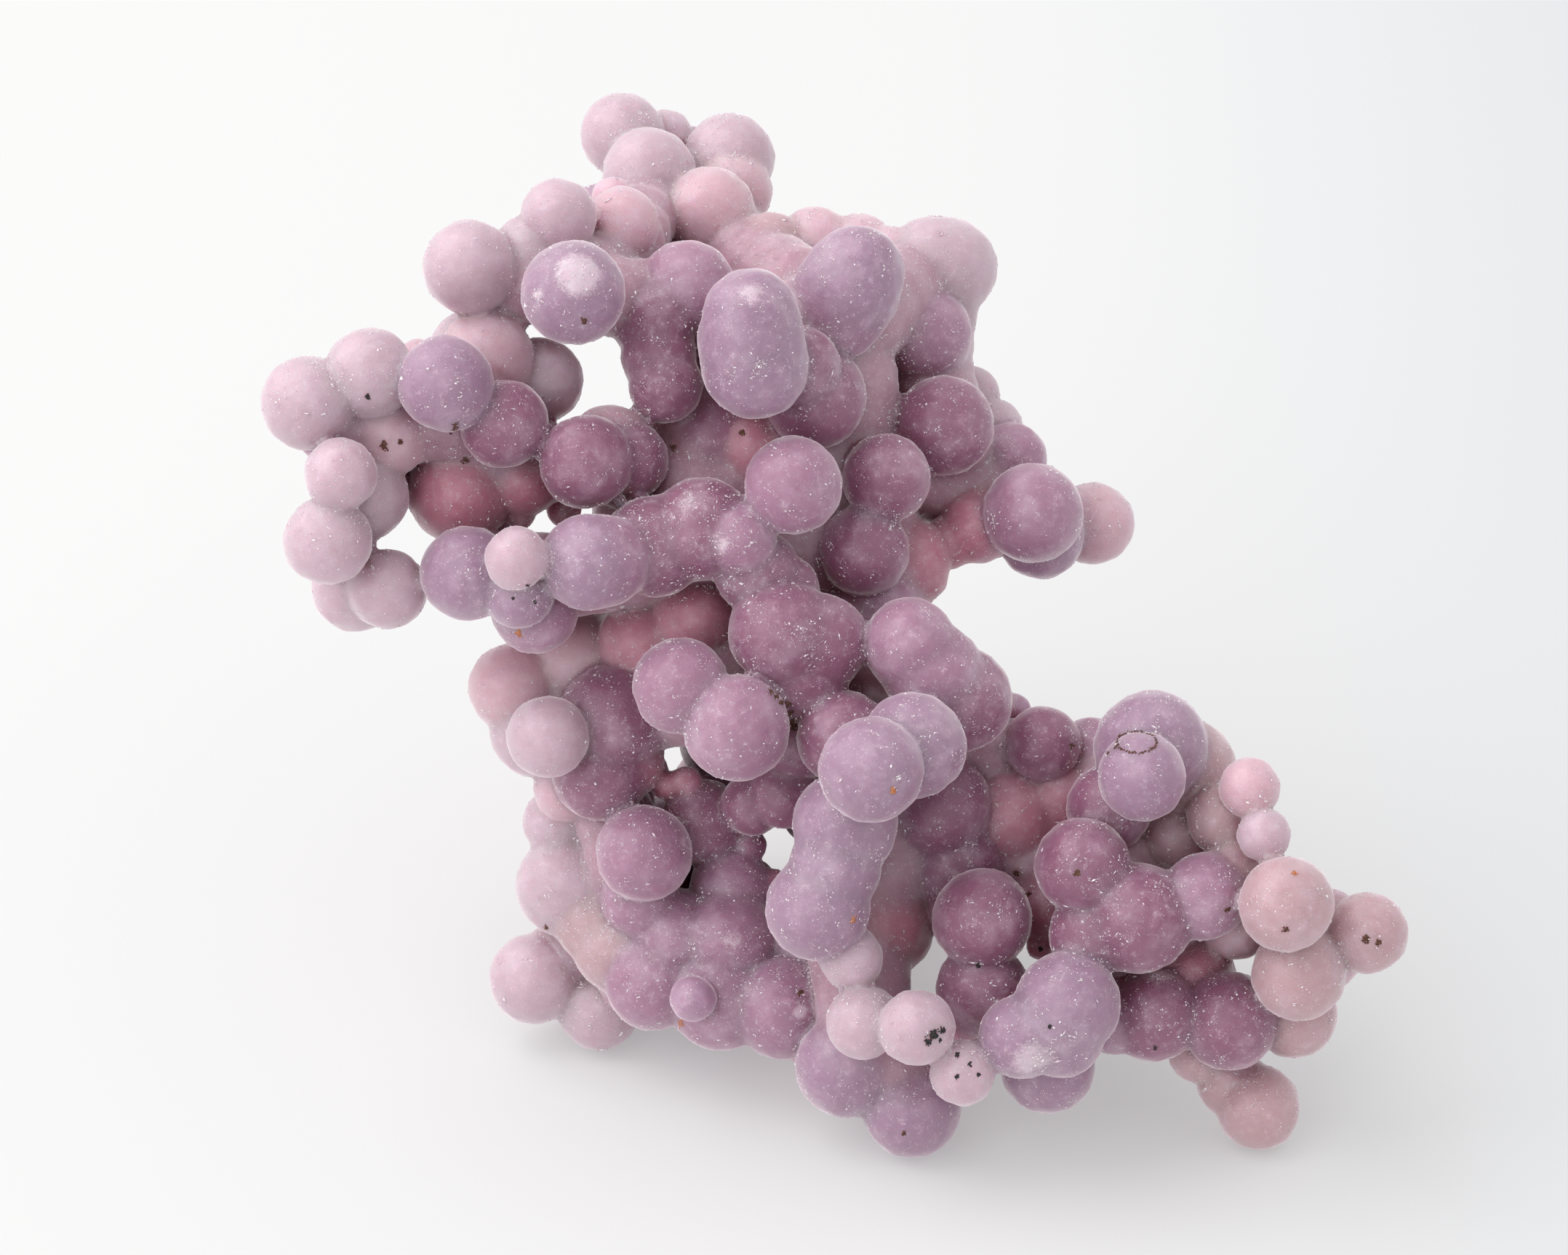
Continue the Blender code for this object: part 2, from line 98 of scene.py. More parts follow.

# The pale letters partly stand in for light glowing through thin berries, and some darker letters for shade.
# Each arm: a letter of TINT_LETTERS for each berry, then the berries, each with its place across to the
# right, up the sheet, its radius, and its distance behind the sheet (mm)
ARMS = {
    "left arm": ("PPLUPRPPPPRPPDDR", (
        (-26.2, 44.7, 2.65, 1.0), (-22.8, 46.4, 2.55, 1.0), (-18.6, 45.8, 2.7, -0.5),
        (-15.4, 43.6, 2.5, 1.5), (-13.4, 46.0, 2.4, 7.0), (-16.4, 47.2, 2.7, 5.0),
        (-17.3, 47.7, 2.2, 7.0), (-24.4, 40.8, 2.05, -1.0),
        (-25.1, 37.2, 2.5, 0.0), (-23.0, 39.6, 2.4, 3.0), (-21.7, 42.9, 2.2, 3.0), (-23.6, 34.5, 2.4, 5.0),
        (-21.8, 34.5, 2.25, 3.0), (-17.8, 39.9, 3.0, 6.0), (-14.3, 40.5, 2.0, 5.5), (-20.1, 46.9, 1.4, 4.0),
    )),
    "middle arm": ("LPLMLMUUR", (
        (-17.4, 35.4, 2.65, 1.0), (-14.7, 36.2, 1.8, -2.5), (-14.6, 34.3, 2.0, 0.0),
        (-13.7, 33.4, 2.45, 2.5), (-10.8, 36.0, 2.7, -1.0), (-9.8, 36.1, 2.55, -0.5),
        (-10.9, 41.5, 2.65, 1.5), (-8.6, 41.6, 2.3, 3.5),
        (-9.6, 42.4, 2.3, 4.0),
    )),
    "ridge": ("UUMUUM", (
        (-7.1, 36.9, 2.9, 1.5), (-4.5, 37.8, 2.9, 1.0), (-2.4, 37.3, 2.0, -0.3), (-1.5, 35.5, 2.4, 1.5),
        (0.0, 34.5, 2.0, 2.0), (0.5, 40.2, 2.75, -0.5),
    )),
    "crown": ("LLLUULLMPPMUUUDRRTR", (
        (-1.8, 49.5, 2.7, -1.5), (-1.8, 48.2, 3.0, -1.3), (-1.6, 46.8, 3.0, -1.0), (0.8, 46.8, 2.3, 1.5),
        (1.7, 45.1, 2.9, 3.5), (4.0, 51.9, 2.65, 3.5), (3.5, 50.9, 2.95, 3.7), (2.8, 49.8, 2.8, 4.0),
        (8.3, 52.3, 2.8, 13.0), (9.1, 52.2, 2.7, 13.0), (7.7, 48.5, 2.7, 11.0), (8.8, 43.5, 2.8, 8.0),
        (5.6, 40.6, 2.5, 4.5), (4.4, 36.6, 2.55, 5.0), (6.9, 36.1, 2.3, 9.0), (1.7, 53.5, 2.1, 14.0),
        (4.1, 53.1, 2.1, 14.0), (-0.7, 53.5, 1.8, 13.0), (5.9, 52.8, 1.7, 13.0),
    )),
    "right shoulder": ("MLRPPMDDD", (
        (13.7, 38.7, 2.8, 8.0), (14.1, 37.4, 2.4, 11.0), (17.0, 38.1, 2.3, 14.0), (10.1, 45.1, 1.8, 15.0),
        (11.5, 43.3, 1.7, 14.0), (12.5, 41.7, 2.0, 12.0), (10.7, 38.0, 2.1, 10.0), (9.1, 37.1, 1.5, 10.0),
        (7.4, 35.3, 1.6, 9.0),
    )),
    "top arm": ("PPPRPRRPPRPLMUUU", (
        (-8.9, 59.5, 2.35, 19.0), (-6.5, 59.3, 1.6, 21.0), (-3.0, 58.2, 2.55, 19.0), (-2.8, 56.4, 2.2, 17.5),
        (-7.4, 57.3, 2.65, 16.5), (-4.1, 55.3, 2.5, 14.5), (-9.4, 56.0, 1.2, 12.0),
        (-12.4, 55.0, 2.15, 5.0), (-14.1, 53.1, 2.0, 5.5),
        (-8.9, 54.6, 2.1, 8.0), (-17.3, 52.2, 2.65, 4.0), (-11.6, 50.8, 2.9, -1.0), (-5.3, 51.1, 2.65, 5.5),
        (-7.1, 49.3, 2.4, 5.0), (-6.9, 47.3, 2.1, 4.5), (-6.5, 45.7, 2.1, 4.0),
    )),
    "lower left": ("RPPUDUMPPTPLMMMMMT", (
        (-14.9, 29.1, 2.5, 8.5), (-13.0, 26.4, 2.3, 3.5), (-13.7, 26.7, 2.55, 8.5), (-9.3, 27.5, 3.1, 6.5),
        (-8.9, 25.1, 2.3, 7.5), (-10.1, 24.5, 2.7, 7.0), (-7.7, 20.0, 2.7, 5.5), (-12.4, 21.7, 2.0, 11.0),
        (-11.9, 18.2, 2.9, 11.0), (-10.3, 16.4, 2.5, 10.5), (-13.7, 13.1, 2.55, 13.0),
        (-5.0, 12.0, 1.3, 4.5), (-7.1, 13.1, 2.9, 9.0), (-3.5, 12.1, 3.0, 8.0),
        (-0.1, 11.5, 2.9, 7.0), (-3.1, 15.3, 2.8, 8.0),
        (-5.9, 15.5, 2.6, 8.5), (-9.1, 14.9, 2.6, 10.0),
    )),
    "middle": ("MMUUUMMUULLLLLPPPPLDUDU", (
        (-5.7, 29.2, 2.7, 0.0), (-2.6, 26.9, 3.0, -1.0), (-0.1, 32.1, 3.0, 0.5), (2.0, 31.6, 2.7, 1.0),
        (0.9, 29.9, 2.8, 1.5), (6.9, 31.5, 2.6, 0.5), (8.2, 29.9, 2.8, 1.0), (9.7, 28.4, 2.95, 2.0),
        (3.3, 26.3, 2.65, 0.5), (7.1, 25.9, 3.0, -2.5), (4.8, 24.6, 2.95, -5.5), (3.35, 21.6, 2.95, -1.0),
        (2.8, 19.2, 2.6, -1.0), (1.85, 17.0, 2.95, -0.8), (3.7, 14.2, 1.8, 0.0), (4.4, 10.7, 2.1, -0.5),
        (7.3, 10.4, 2.15, -2.5), (9.8, 7.9, 1.85, -1.5), (3.5, 8.3, 2.9, 4.0), (4.9, 16.1, 3.0, 6.0),
        (8.5, 22.5, 3.0, 5.0), (12.3, 22.1, 2.8, 7.0), (9.3, 19.5, 2.8, 6.0),
    )),
    "lower right": ("LLLLUUL", (
        (15.6, 11.7, 3.0, -1.5), (14.7, 10.5, 2.5, -1.5), (13.0, 9.9, 2.35, -1.5), (14.5, 8.3, 2.65, 3.0),
        (10.9, 16.4, 2.8, 1.5), (10.9, 12.5, 2.65, 2.5), (15.3, 9.8, 2.25, -1.3),
    )),
    "right arm": ("UPMLTLUUUUMTRPTTTTTURDUMTT", (
        (14.2, 26.0, 2.15, 5.5), (14.9, 27.3, 1.6, 12.0), (16.9, 25.7, 1.8, 7.0), (20.2, 25.8, 3.2, 1.5),
        (22.2, 24.7, 2.7, 3.5), (19.7, 24.2, 2.5, -2.0), (17.9, 22.5, 2.4, 2.0), (16.4, 19.3, 2.7, -0.5),
        (19.5, 16.4, 3.1, -0.5), (16.9, 15.5, 2.4, 0.0), (23.1, 17.6, 2.45, -0.5), (24.9, 18.9, 2.1, 0.8),
        (25.6, 23.6, 1.7, -1.0), (26.4, 21.0, 1.5, -2.0), (24.1, 21.9, 2.0, 1.5), (27.6, 17.2, 2.7, -3.5),
        (32.1, 15.6, 2.3, 0.0), (28.3, 13.4, 2.65, -0.5), (28.0, 11.1, 2.45, 4.0), (24.5, 10.8, 2.75, 2.5),
        (24.9, 16.1, 2.0, 3.0), (22.5, 13.3, 2.4, 4.5), (20.3, 11.1, 2.65, 2.5), (18.1, 10.9, 2.0, 2.5),
        (22.8, 9.0, 1.7, 5.0), (24.5, 7.3, 1.8, 5.5),
    )),
    "deep": ("RDDUDDMUMUDDDRRMMDURDPRDRDLUDDUDD", (
        (-11.1, 30.7, 3.0, 9.0), (-7.5, 31.5, 2.8, 7.0), (-4.7, 32.9, 2.6, 5.5), (-3.7, 42.5, 2.9, 7.0),
        (-1.5, 42.1, 2.4, 6.0), (-5.5, 41.3, 2.4, 7.0), (2.9, 41.7, 2.4, 8.0), (-4.5, 21.7, 2.4, 9.0),
        (-2.9, 18.1, 2.3, 9.0), (-1.7, 22.7, 1.8, 7.0), (6.9, 18.9, 2.8, 8.0), (14.5, 20.9, 2.5, 8.0),
        (14.5, 17.1, 2.1, 6.0), (21.7, 20.9, 2.6, 5.0), (-12.0, 23.5, 1.8, 9.0), (-7.9, 17.5, 2.2, 8.0),
        (5.1, 33.5, 2.2, 7.0), (11.9, 25.3, 2.0, 8.0), (0.9, 26.5, 2.5, 5.0), (18.3, 19.5, 2.0, 3.5),
        (15.3, 23.1, 2.4, 7.0), (-12.1, 38.9, 1.0, 8.0), (-14.5, 38.6, 0.8, 6.0), (-6.5, 23.7, 0.8, 8.0),
        (14.1, 14.9, 0.8, 6.0), (9.7, 10.2, 0.9, 3.0), (12.7, 27.9, 0.9, 8.0), (0.0, 23.3, 2.0, 6.0),
        (-5.4, 23.9, 0.9, 8.0), (-7.2, 24.6, 0.8, 8.5), (-1.9, 20.4, 0.95, 8.5), (-0.6, 18.3, 0.9, 9.0),
        (6.0, 15.6, 2.2, 6.5),
    )),
}
# Berries that stand on the table, whose distance behind the sheet follows from that: across, up, radius
FEET = ("LTPLL", (
    (7.0, 6.0, 2.8), (26.1, 6.0, 2.35), (-10.2, 11.4, 2.3), (5.0, 18.2, 2.6), (-3.8, 20.0, 2.5),
))
# Gaps that one sees right through between the berries: across, up, radius
WINDOWS = (
    (-9.9, 47.0, 1.2), (-10.1, 45.4, 1.0), (-10.9, 44.3, 0.6), (-9.0, 44.3, 0.6), (-21.6, 37.4, 0.8),
    (-20.6, 37.8, 0.8), (-20.0, 36.8, 0.7), (-13.4, 38.2, 0.3), (-6.1, 24.9, 0.3), (-0.4, 20.7, 0.5),
    (-0.4, 19.8, 0.4), (8.3, 14.5, 0.5), (7.5, 13.4, 0.3), (13.6, 14.3, 0.2), (25.5, 14.0, 0.35),
)
# The cores inside the arms, as runs of points: across, up, radius, behind
CORES = (
    ((-24.5, 43.5, 1.9, 2.5), (-18.0, 44.0, 2.6, 4.5), (-14.6, 41.5, 2.2, 6.0), (-9.6, 41.4, 2.2, 6.0),
     (-5.0, 40.0, 3.0, 7.0), (1.0, 40.0, 3.6, 8.0)),
    ((-24.2, 37.0, 1.8, 3.0), (-23.4, 40.0, 1.8, 4.0), (-22.0, 43.0, 2.0, 4.0)),
    ((-21.5, 34.6, 1.7, 4.0), (-17.0, 35.4, 2.1, 5.0), (-11.5, 35.4, 2.4, 5.0), (-5.0, 36.5, 2.8, 6.0),
     (2.0, 37.0, 3.4, 8.0)),
    ((-16.5, 51.5, 2.0, 6.0), (-11.5, 51.0, 2.4, 5.0), (-8.6, 53.5, 2.0, 10.0), (-7.0, 56.5, 2.2, 18.0),
     (-4.0, 56.5, 2.2, 19.0), (-3.0, 53.5, 2.2, 15.0), (0.5, 50.5, 3.0, 10.0)),
    ((-11.0, 50.8, 2.2, 4.0), (-6.5, 50.2, 2.4, 7.0), (-6.3, 46.0, 1.9, 6.5), (-4.5, 42.0, 2.8, 8.0)),
    ((-1.5, 48.0, 2.8, 3.0), (3.5, 49.5, 3.2, 8.0), (8.3, 51.5, 2.5, 14.0), (7.8, 46.5, 2.6, 13.0),
     (8.5, 42.5, 3.0, 11.0)),
    ((3.0, 46.0, 3.4, 8.0), (2.5, 41.0, 4.0, 9.0), (4.5, 35.5, 3.8, 10.0), (4.0, 30.5, 3.6, 8.0),
     (6.5, 26.5, 3.4, 7.0), (6.0, 21.0, 3.6, 7.0), (4.0, 16.0, 3.0, 6.0), (4.5, 10.0, 2.6, 4.0),
     (7.0, 7.0, 2.2, 4.2)),
    ((6.0, 42.0, 3.2, 11.0), (10.5, 40.0, 2.4, 12.0), (14.5, 38.3, 2.0, 12.0), (17.0, 38.1, 1.6, 14.0)),
    ((1.0, 31.0, 3.0, 6.0), (-4.0, 28.5, 2.6, 5.0), (-9.0, 28.5, 3.0, 9.0), (-14.0, 28.0, 2.2, 9.5)),
    ((-9.5, 27.0, 2.8, 9.0), (-10.0, 23.5, 2.2, 10.0), (-8.5, 20.0, 2.5, 9.0), (-10.0, 16.5, 2.4, 12.0),
     (-8.0, 13.5, 2.4, 11.5), (-2.5, 12.8, 2.6, 10.5), (2.0, 15.5, 2.2, 8.5)),
    ((-10.0, 16.0, 2.2, 12.5), (-13.2, 13.6, 2.0, 14.0)),
    ((5.0, 28.5, 3.0, 6.0), (9.5, 28.0, 2.4, 5.0), (11.5, 24.5, 2.0, 8.0), (15.0, 23.5, 2.2, 8.0),
     (20.5, 24.0, 2.6, 5.5), (24.0, 22.0, 1.8, 4.5), (25.5, 18.0, 2.0, 2.5), (31.5, 15.8, 1.6, 1.5)),
    ((9.0, 21.5, 3.0, 8.5), (14.0, 19.0, 2.4, 7.5), (19.0, 17.5, 2.6, 4.0), (21.0, 13.0, 2.2, 5.0),
     (26.5, 12.5, 2.2, 3.5)),
    ((9.0, 20.0, 2.8, 8.0), (10.9, 15.0, 2.2, 5.0), (13.5, 11.0, 2.2, 3.0), (18.0, 11.8, 1.8, 3.5),
     (21.0, 12.5, 2.2, 5.0), (23.8, 9.0, 1.6, 5.5), (25.8, 6.6, 1.6, 5.2)),
    ((4.5, 29.0, 3.4, 12.0), (4.8, 24.5, 3.2, 18.0), (5.0, 19.5, 2.4, 24.0)),
    ((-3.0, 28.0, 2.6, 11.0), (-3.5, 23.5, 2.6, 18.0), (-3.8, 20.5, 2.2, 24.0)),
    ((4.5, 33.0, 3.4, 13.0), (5.0, 39.0, 3.4, 15.0), (4.0, 45.5, 3.0, 15.0), (0.5, 50.5, 2.6, 14.0)),
)


@dataclass(frozen=True)
class Ball:
    """A ball laid out on the leaning sheet, in millimetres, with its tint."""

    across: float
    up: float
    radius: float
    behind: float
    tint: Tint = Tint.BLUSH

    @property
    def spread(self) -> float:
        """How much farther from the viewer than the sheet it is, which widens its true size."""
        return (SIGHT_DISTANCE + self.behind) / SIGHT_DISTANCE

    @property
    def size(self) -> float:
        """Its true radius."""
        return self.radius * self.spread

    @property
    def centre(self) -> Vector:
        """Its place in the room, right, back and up, before the cluster is centred on its origin."""
        return room_place(self.across, self.up, self.behind)

    def blocks(self, window: Sequence[float]) -> bool:
        """Whether it reaches into a window, seen from the front."""
        across, up, radius = window
        return math.hypot(self.across - across, self.up - up) < self.radius + radius

    @classmethod
    def standing(cls, across: float, up: float, radius: float, tint: Tint) -> Ball:
        """Set a ball on the table.

        Args:
            across: How far right of the middle it looks, in mm.
            up: How far up the sheet it looks, in mm.
            radius: Its radius as seen on the sheet, in mm.
            tint: Its own colour.

        Returns:
            The ball that looks so from the front and touches the table.
        """
        rise = (up - SIGHT_HEIGHT) * math.cos(SIGHT_DROP)
        fall = math.sin(SIGHT_DROP) + (radius - rise) / SIGHT_DISTANCE
        return cls(across, up, radius, (up * math.cos(SIGHT_DROP) - radius) / fall, tint)


def room_place(across: float, up: float, behind: float) -> Vector:
    """Where a point seen on the sheet lies in the room.

    Args:
        across: How far right of the middle it looks, in mm.
        up: How far up the sheet it looks, in mm.
        behind: Its distance behind the sheet, in mm.

    Returns:
        Its place right, back and up, in mm, before the cluster is centred on its origin.
    """
    spread = (SIGHT_DISTANCE + behind) / SIGHT_DISTANCE
    up = SIGHT_HEIGHT + (up - SIGHT_HEIGHT) * spread
    return Vector((
        across * spread,
        up * math.sin(SIGHT_DROP) + behind * math.cos(SIGHT_DROP),
        up * math.cos(SIGHT_DROP) - behind * math.sin(SIGHT_DROP),
    ))


@dataclass
class Growth:
    """Berries that bud from others, away from the viewer and out of sight behind the front ones."""

    front: list[Ball]
    cores: list[Ball]
    rounds: int = 5
    tries: int = 26
    reach: float = 2.6
    radii: tuple[float, float] = (2.1, 2.9)
    neighbour_spacing: float = 0.7
    parent_spacing: float = 0.8
    disc_rings: tuple[float, ...] = (0.35, 0.7, 1.0)
    disc_turns: int = 12
    least_back: float = -0.15
    seed: int = 7
    tint_zones: str = "UMLMRRP"
    zone_width: float = 8.0
    zone_contrast: float = 0.8
    balls: list[Ball] = field(init=False)

    def __post_init__(self) -> None:
        """Lay out the arrays that the tests read."""
        self.balls = list(self.front)
        self.places = np.array([ball.centre for ball in self.front])
        self.sizes = np.array([ball.size for ball in self.front])
        self.core_places = np.array([ball.centre for ball in self.cores])
        self.core_sizes = np.array([ball.size for ball in self.cores])
        self.shields = np.array([(ball.across, ball.up, ball.radius, ball.behind) for ball in self.front])
        self.random = random.Random(self.seed)

    def is_hidden(self, ball: Ball) -> bool:
        """Test that nothing of a berry shows from the front.

        Args:
            ball: The berry.

        Returns:
            Whether it fills no window, and front berries that stand before it cover its disc.
        """
        if any(ball.blocks(window) for window in WINDOWS):
            return False
        circle = np.linspace(0, 2 * math.pi, self.disc_turns, endpoint=False)
        turns, shares = np.meshgrid(circle, self.disc_rings)
        across = ball.across + ball.radius * (shares * np.cos(turns)).reshape(-1, 1)
        up = ball.up + ball.radius * (shares * np.sin(turns)).reshape(-1, 1)
        bulge = self.shields[:, 2] ** 2 - (across - self.shields[:, 0]) ** 2 - (up - self.shields[:, 1]) ** 2
        shield_face = self.shields[:, 3] - np.sqrt(np.maximum(bulge, 0))
        face = ball.behind - ball.radius * np.sqrt(1 - shares**2).reshape(-1, 1)
        return bool(((bulge > 0) & (shield_face < face)).any(axis=1).all())

    def has_room(self, ball: Ball, centre: np.ndarray) -> bool:
        """Test that a berry has a place to grow.

        Args:
            ball: The berry.
            centre: Its place in the room, in mm.

        Returns:
            Whether it stands clear of the table, near a core and not inside another berry.
        """
        if centre[2] < ball.size:
            return False
        away = np.linalg.norm(self.places - centre, axis=1)
        if (away < self.neighbour_spacing * (self.sizes + ball.size)).any():
            return False
        to_core = np.linalg.norm(self.core_places - centre, axis=1) - self.core_sizes
        return bool(to_core.min() < self.reach)

    def bud(self, parent: Ball) -> Ball:
        """Bud a berry in a direction that is chance but for leading backwards.

        Args:
            parent: The ball that it grows on.

        Returns:
            The berry, half sunk in its parent.
        """
        radius = self.random.uniform(*self.radii)
        turn = self.random.uniform(0, 2 * math.pi)
        back = self.random.uniform(self.least_back, 1)
        aside = math.sqrt(1 - back * back)
        reach = (parent.radius + radius) * self.parent_spacing
        return Ball(
            parent.across + reach * aside * math.cos(turn),
            parent.up + reach * aside * math.sin(turn),
            radius,
            parent.behind + reach * back,
        )

    def keep(self, ball: Ball, centre: np.ndarray) -> None:
        """Add a berry, tinted by the zone that it grew in.

        Args:
            ball: The berry.
            centre: Its place in the room, in mm.
        """
        zone = 0.5 + self.zone_contrast * noise.noise(ball.centre / self.zone_width)
        share = min(max(zone, 0), 0.999)
        tint = TINT_LETTERS[self.tint_zones[int(share * len(self.tint_zones))]]
        self.balls.append(Ball(ball.across, ball.up, ball.radius, ball.behind, tint))
        self.places = np.vstack([self.places, centre])
        self.sizes = np.append(self.sizes, ball.size)

    def run(self) -> list[Ball]:
        """Grow round after round of berries.

        Returns:
            All the berries, front ones first.
        """
        parents = self.front + self.cores
        for _ in range(self.rounds):
            first_new = len(self.balls)
            for parent in parents:
                for _ in range(self.tries):
                    ball = self.bud(parent)
                    centre = np.array(ball.centre)
                    if self.has_room(ball, centre) and self.is_hidden(ball):
                        self.keep(ball, centre)
            parents = self.balls[first_new:]
        return self.balls


class BerryPlan:
    """Every ball of the cluster, in the places that the model of the part gives them."""

    core_step: float = 1.6

    def __init__(self) -> None:
        """Grow the cluster and find its origin, the middle of the bottom of its box."""
        front = self.front_balls()
        cores = self.core_balls()
        self.balls = Growth(front, cores).run() + cores
        low = [min(ball.centre[i] - ball.size for ball in self.balls) for i in range(3)]
        high = [max(ball.centre[i] + ball.size for ball in self.balls) for i in range(3)]
        self.origin = Vector(((low[0] + high[0]) / 2, (low[1] + high[1]) / 2, low[2]))

    @staticmethod
    def front_balls() -> list[Ball]:
        """Read the tables of berries.

        Returns:
            The berries that were laid out one by one.
        """
        balls = [
            Ball(*row, TINT_LETTERS[letter])
            for letters, rows in ARMS.values()
            for letter, row in zip(letters, rows, strict=True)
        ]
        return balls + [
            Ball.standing(*row, TINT_LETTERS[letter]) for letter, row in zip(*FEET, strict=True)
        ]

    def core_balls(self) -> list[Ball]:
        """Fill the cores.

        Returns:
            Balls a short step apart along every core, but for those in a window.
        """
        balls = []
        for core in CORES:
            for start, end in zip(core, core[1:]):
                first, last = Vector(start), Vector(end)
                steps = max(1, round((last - first).length / self.core_step))
                balls += [Ball(*first.lerp(last, step / steps)) for step in range(steps + 1)]
        return [ball for ball in balls if not any(ball.blocks(window) for window in WINDOWS)]

    @property
    def eye(self) -> Vector:
        """The viewer's place in the frame, in mm."""
        return self.seat(0, SIGHT_HEIGHT, -SIGHT_DISTANCE)

    def seat(self, across: float, up: float, behind: float) -> Vector:
        """The point of the frame, in mm, that looks so from the front."""
        return room_place(across, up, behind) - self.origin


@dataclass
class FieldSample:
    """What the run-together balls are like at some points."""

    outside: np.ndarray
    outward: np.ndarray
    tint: np.ndarray

    @property
    def crease(self) -> np.ndarray:
        """Near 0 on the round of a berry and near 1 where berries meet."""
        return 1 - np.clip(np.linalg.norm(self.outward, axis=1), 0, 1)


class BerryField:
    """The balls run together, with a small fillet in the creases between them."""

    off_round: float = 0.02
    waves_a_ball: int = 3
    wave_pitch: float = 2.2
    fade: float = 9.0
    seed: int = 11

    def __init__(self, plan: BerryPlan, fillet: float) -> None:
        """Hold the balls as arrays, in mm.

        Args:
            plan: The balls.
            fillet: How far the creases between them are filled, in mm.
        """
        self.fillet = fillet
        self.reach = self.fade * fillet
        self.centres = np.array([ball.centre - plan.origin for ball in plan.balls])
        self.sizes = np.array([ball.size for ball in plan.balls])
        self.tints = np.array([ball.tint.value for ball in plan.balls])
        chance = np.random.default_rng(self.seed)
        count = len(self.sizes)
        self.lump_ways = chance.normal(0, self.wave_pitch, (count, self.waves_a_ball, 3))
        self.lump_turns = chance.uniform(0, 2 * math.pi, (count, self.waves_a_ball))

    def sample(self, points: np.ndarray) -> FieldSample:
        """Measure the field.

        Args:
            points: Places in mm, one a row.

        Returns:
            The distance outside the fused berries, the way out and the mixed tint at each.
        """
        order = np.argsort(points[:, 0])
        sorted_x = points[order, 0]
        weight = np.full(len(points), 1e-12)
        outward = np.zeros_like(points)
        tint = np.zeros_like(points)
        for ball, (centre, size) in enumerate(zip(self.centres, self.sizes, strict=True)):
            near = size + self.reach
            first, last = np.searchsorted(sorted_x, (centre[0] - near, centre[0] + near))
            index = order[first:last]
            offset = points[index] - centre
            squared = np.einsum("ij,ij->i", offset, offset)
            inside = squared < near * near
            index, offset, away = index[inside], offset[inside], np.sqrt(squared[inside])
            direction = offset / away[:, None]
            waves = np.sin(direction @ self.lump_ways[ball].T + self.lump_turns[ball]).mean(axis=1)
            gap = away - size * (1 - self.off_round * (1 - waves))
            share = np.exp(-gap / self.fillet)
            weight[index] += share
            outward[index] += share[:, None] * direction
            tint[index] += share[:, None] * self.tints[ball]
        return FieldSample(-self.fillet * np.log(weight), outward / weight[:, None], tint / weight[:, None])


class Sight:
    """The viewer's lines of sight onto the finished skin."""

    def __init__(self, plan: BerryPlan, skin: bpy.types.Object) -> None:
        """Make the search tree of the skin.

        Args:
            plan: The cluster, which says where the viewer is.
            skin: The finished skin.
        """
        self.plan = plan
        self.tree = search_tree(skin.data)
        self.eye = plan.eye

    def hit(self, across: float, up: float) -> tuple[Vector, Vector] | None:
        """Look along a line of sight.

        Args:
            across: How far right of the middle the point of the sheet is, in mm.
            up: How far up the sheet it is, in mm.

        Returns:
            The place in mm and the normal of the skin that the viewer sees there, or None.
        """
        way = (self.plan.seat(across, up, 0) - self.eye).normalized()
        place, normal, _, _ = self.tree.ray_cast(self.eye, way)
        return None if place is None else (place, normal)


def search_tree(mesh: bpy.types.Mesh) -> BVHTree:
    """A search tree of a mesh's faces, in mm."""
    vertices = [vertex.co / MM for vertex in mesh.vertices]
    return BVHTree.FromPolygons(vertices, [tuple(face.vertices) for face in mesh.polygons])


def mesh_places(mesh: bpy.types.Mesh) -> np.ndarray:
    """Read a mesh's vertices.

    Args:
        mesh: The mesh.

    Returns:
        Their places in mm, one a row.
    """
    places = np.empty(len(mesh.vertices) * 3)
    mesh.vertices.foreach_get("co", places)
    return places.reshape(-1, 3) / MM


def put_places(mesh: bpy.types.Mesh, places: np.ndarray) -> None:
    """Move a mesh's vertices to places in mm."""
    mesh.vertices.foreach_set("co", (places * MM).ravel())
    mesh.update()


def finish_piece(piece: bpy.types.Object) -> None:
    """Have a piece move with the stone.

    Args:
        piece: The finished piece.
    """
    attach(piece, BODY)
    log.info("%s: %d faces", piece.name, len(piece.data.polygons))


@dataclass
class FrostAndHighlightPatch:
    """A whitish bloom on a berry, partly frost and partly a painted highlight: its place on the sheet, its
    radius in mm and how white it is.
    """

    across: float
    up: float
    radius: float
    white: float


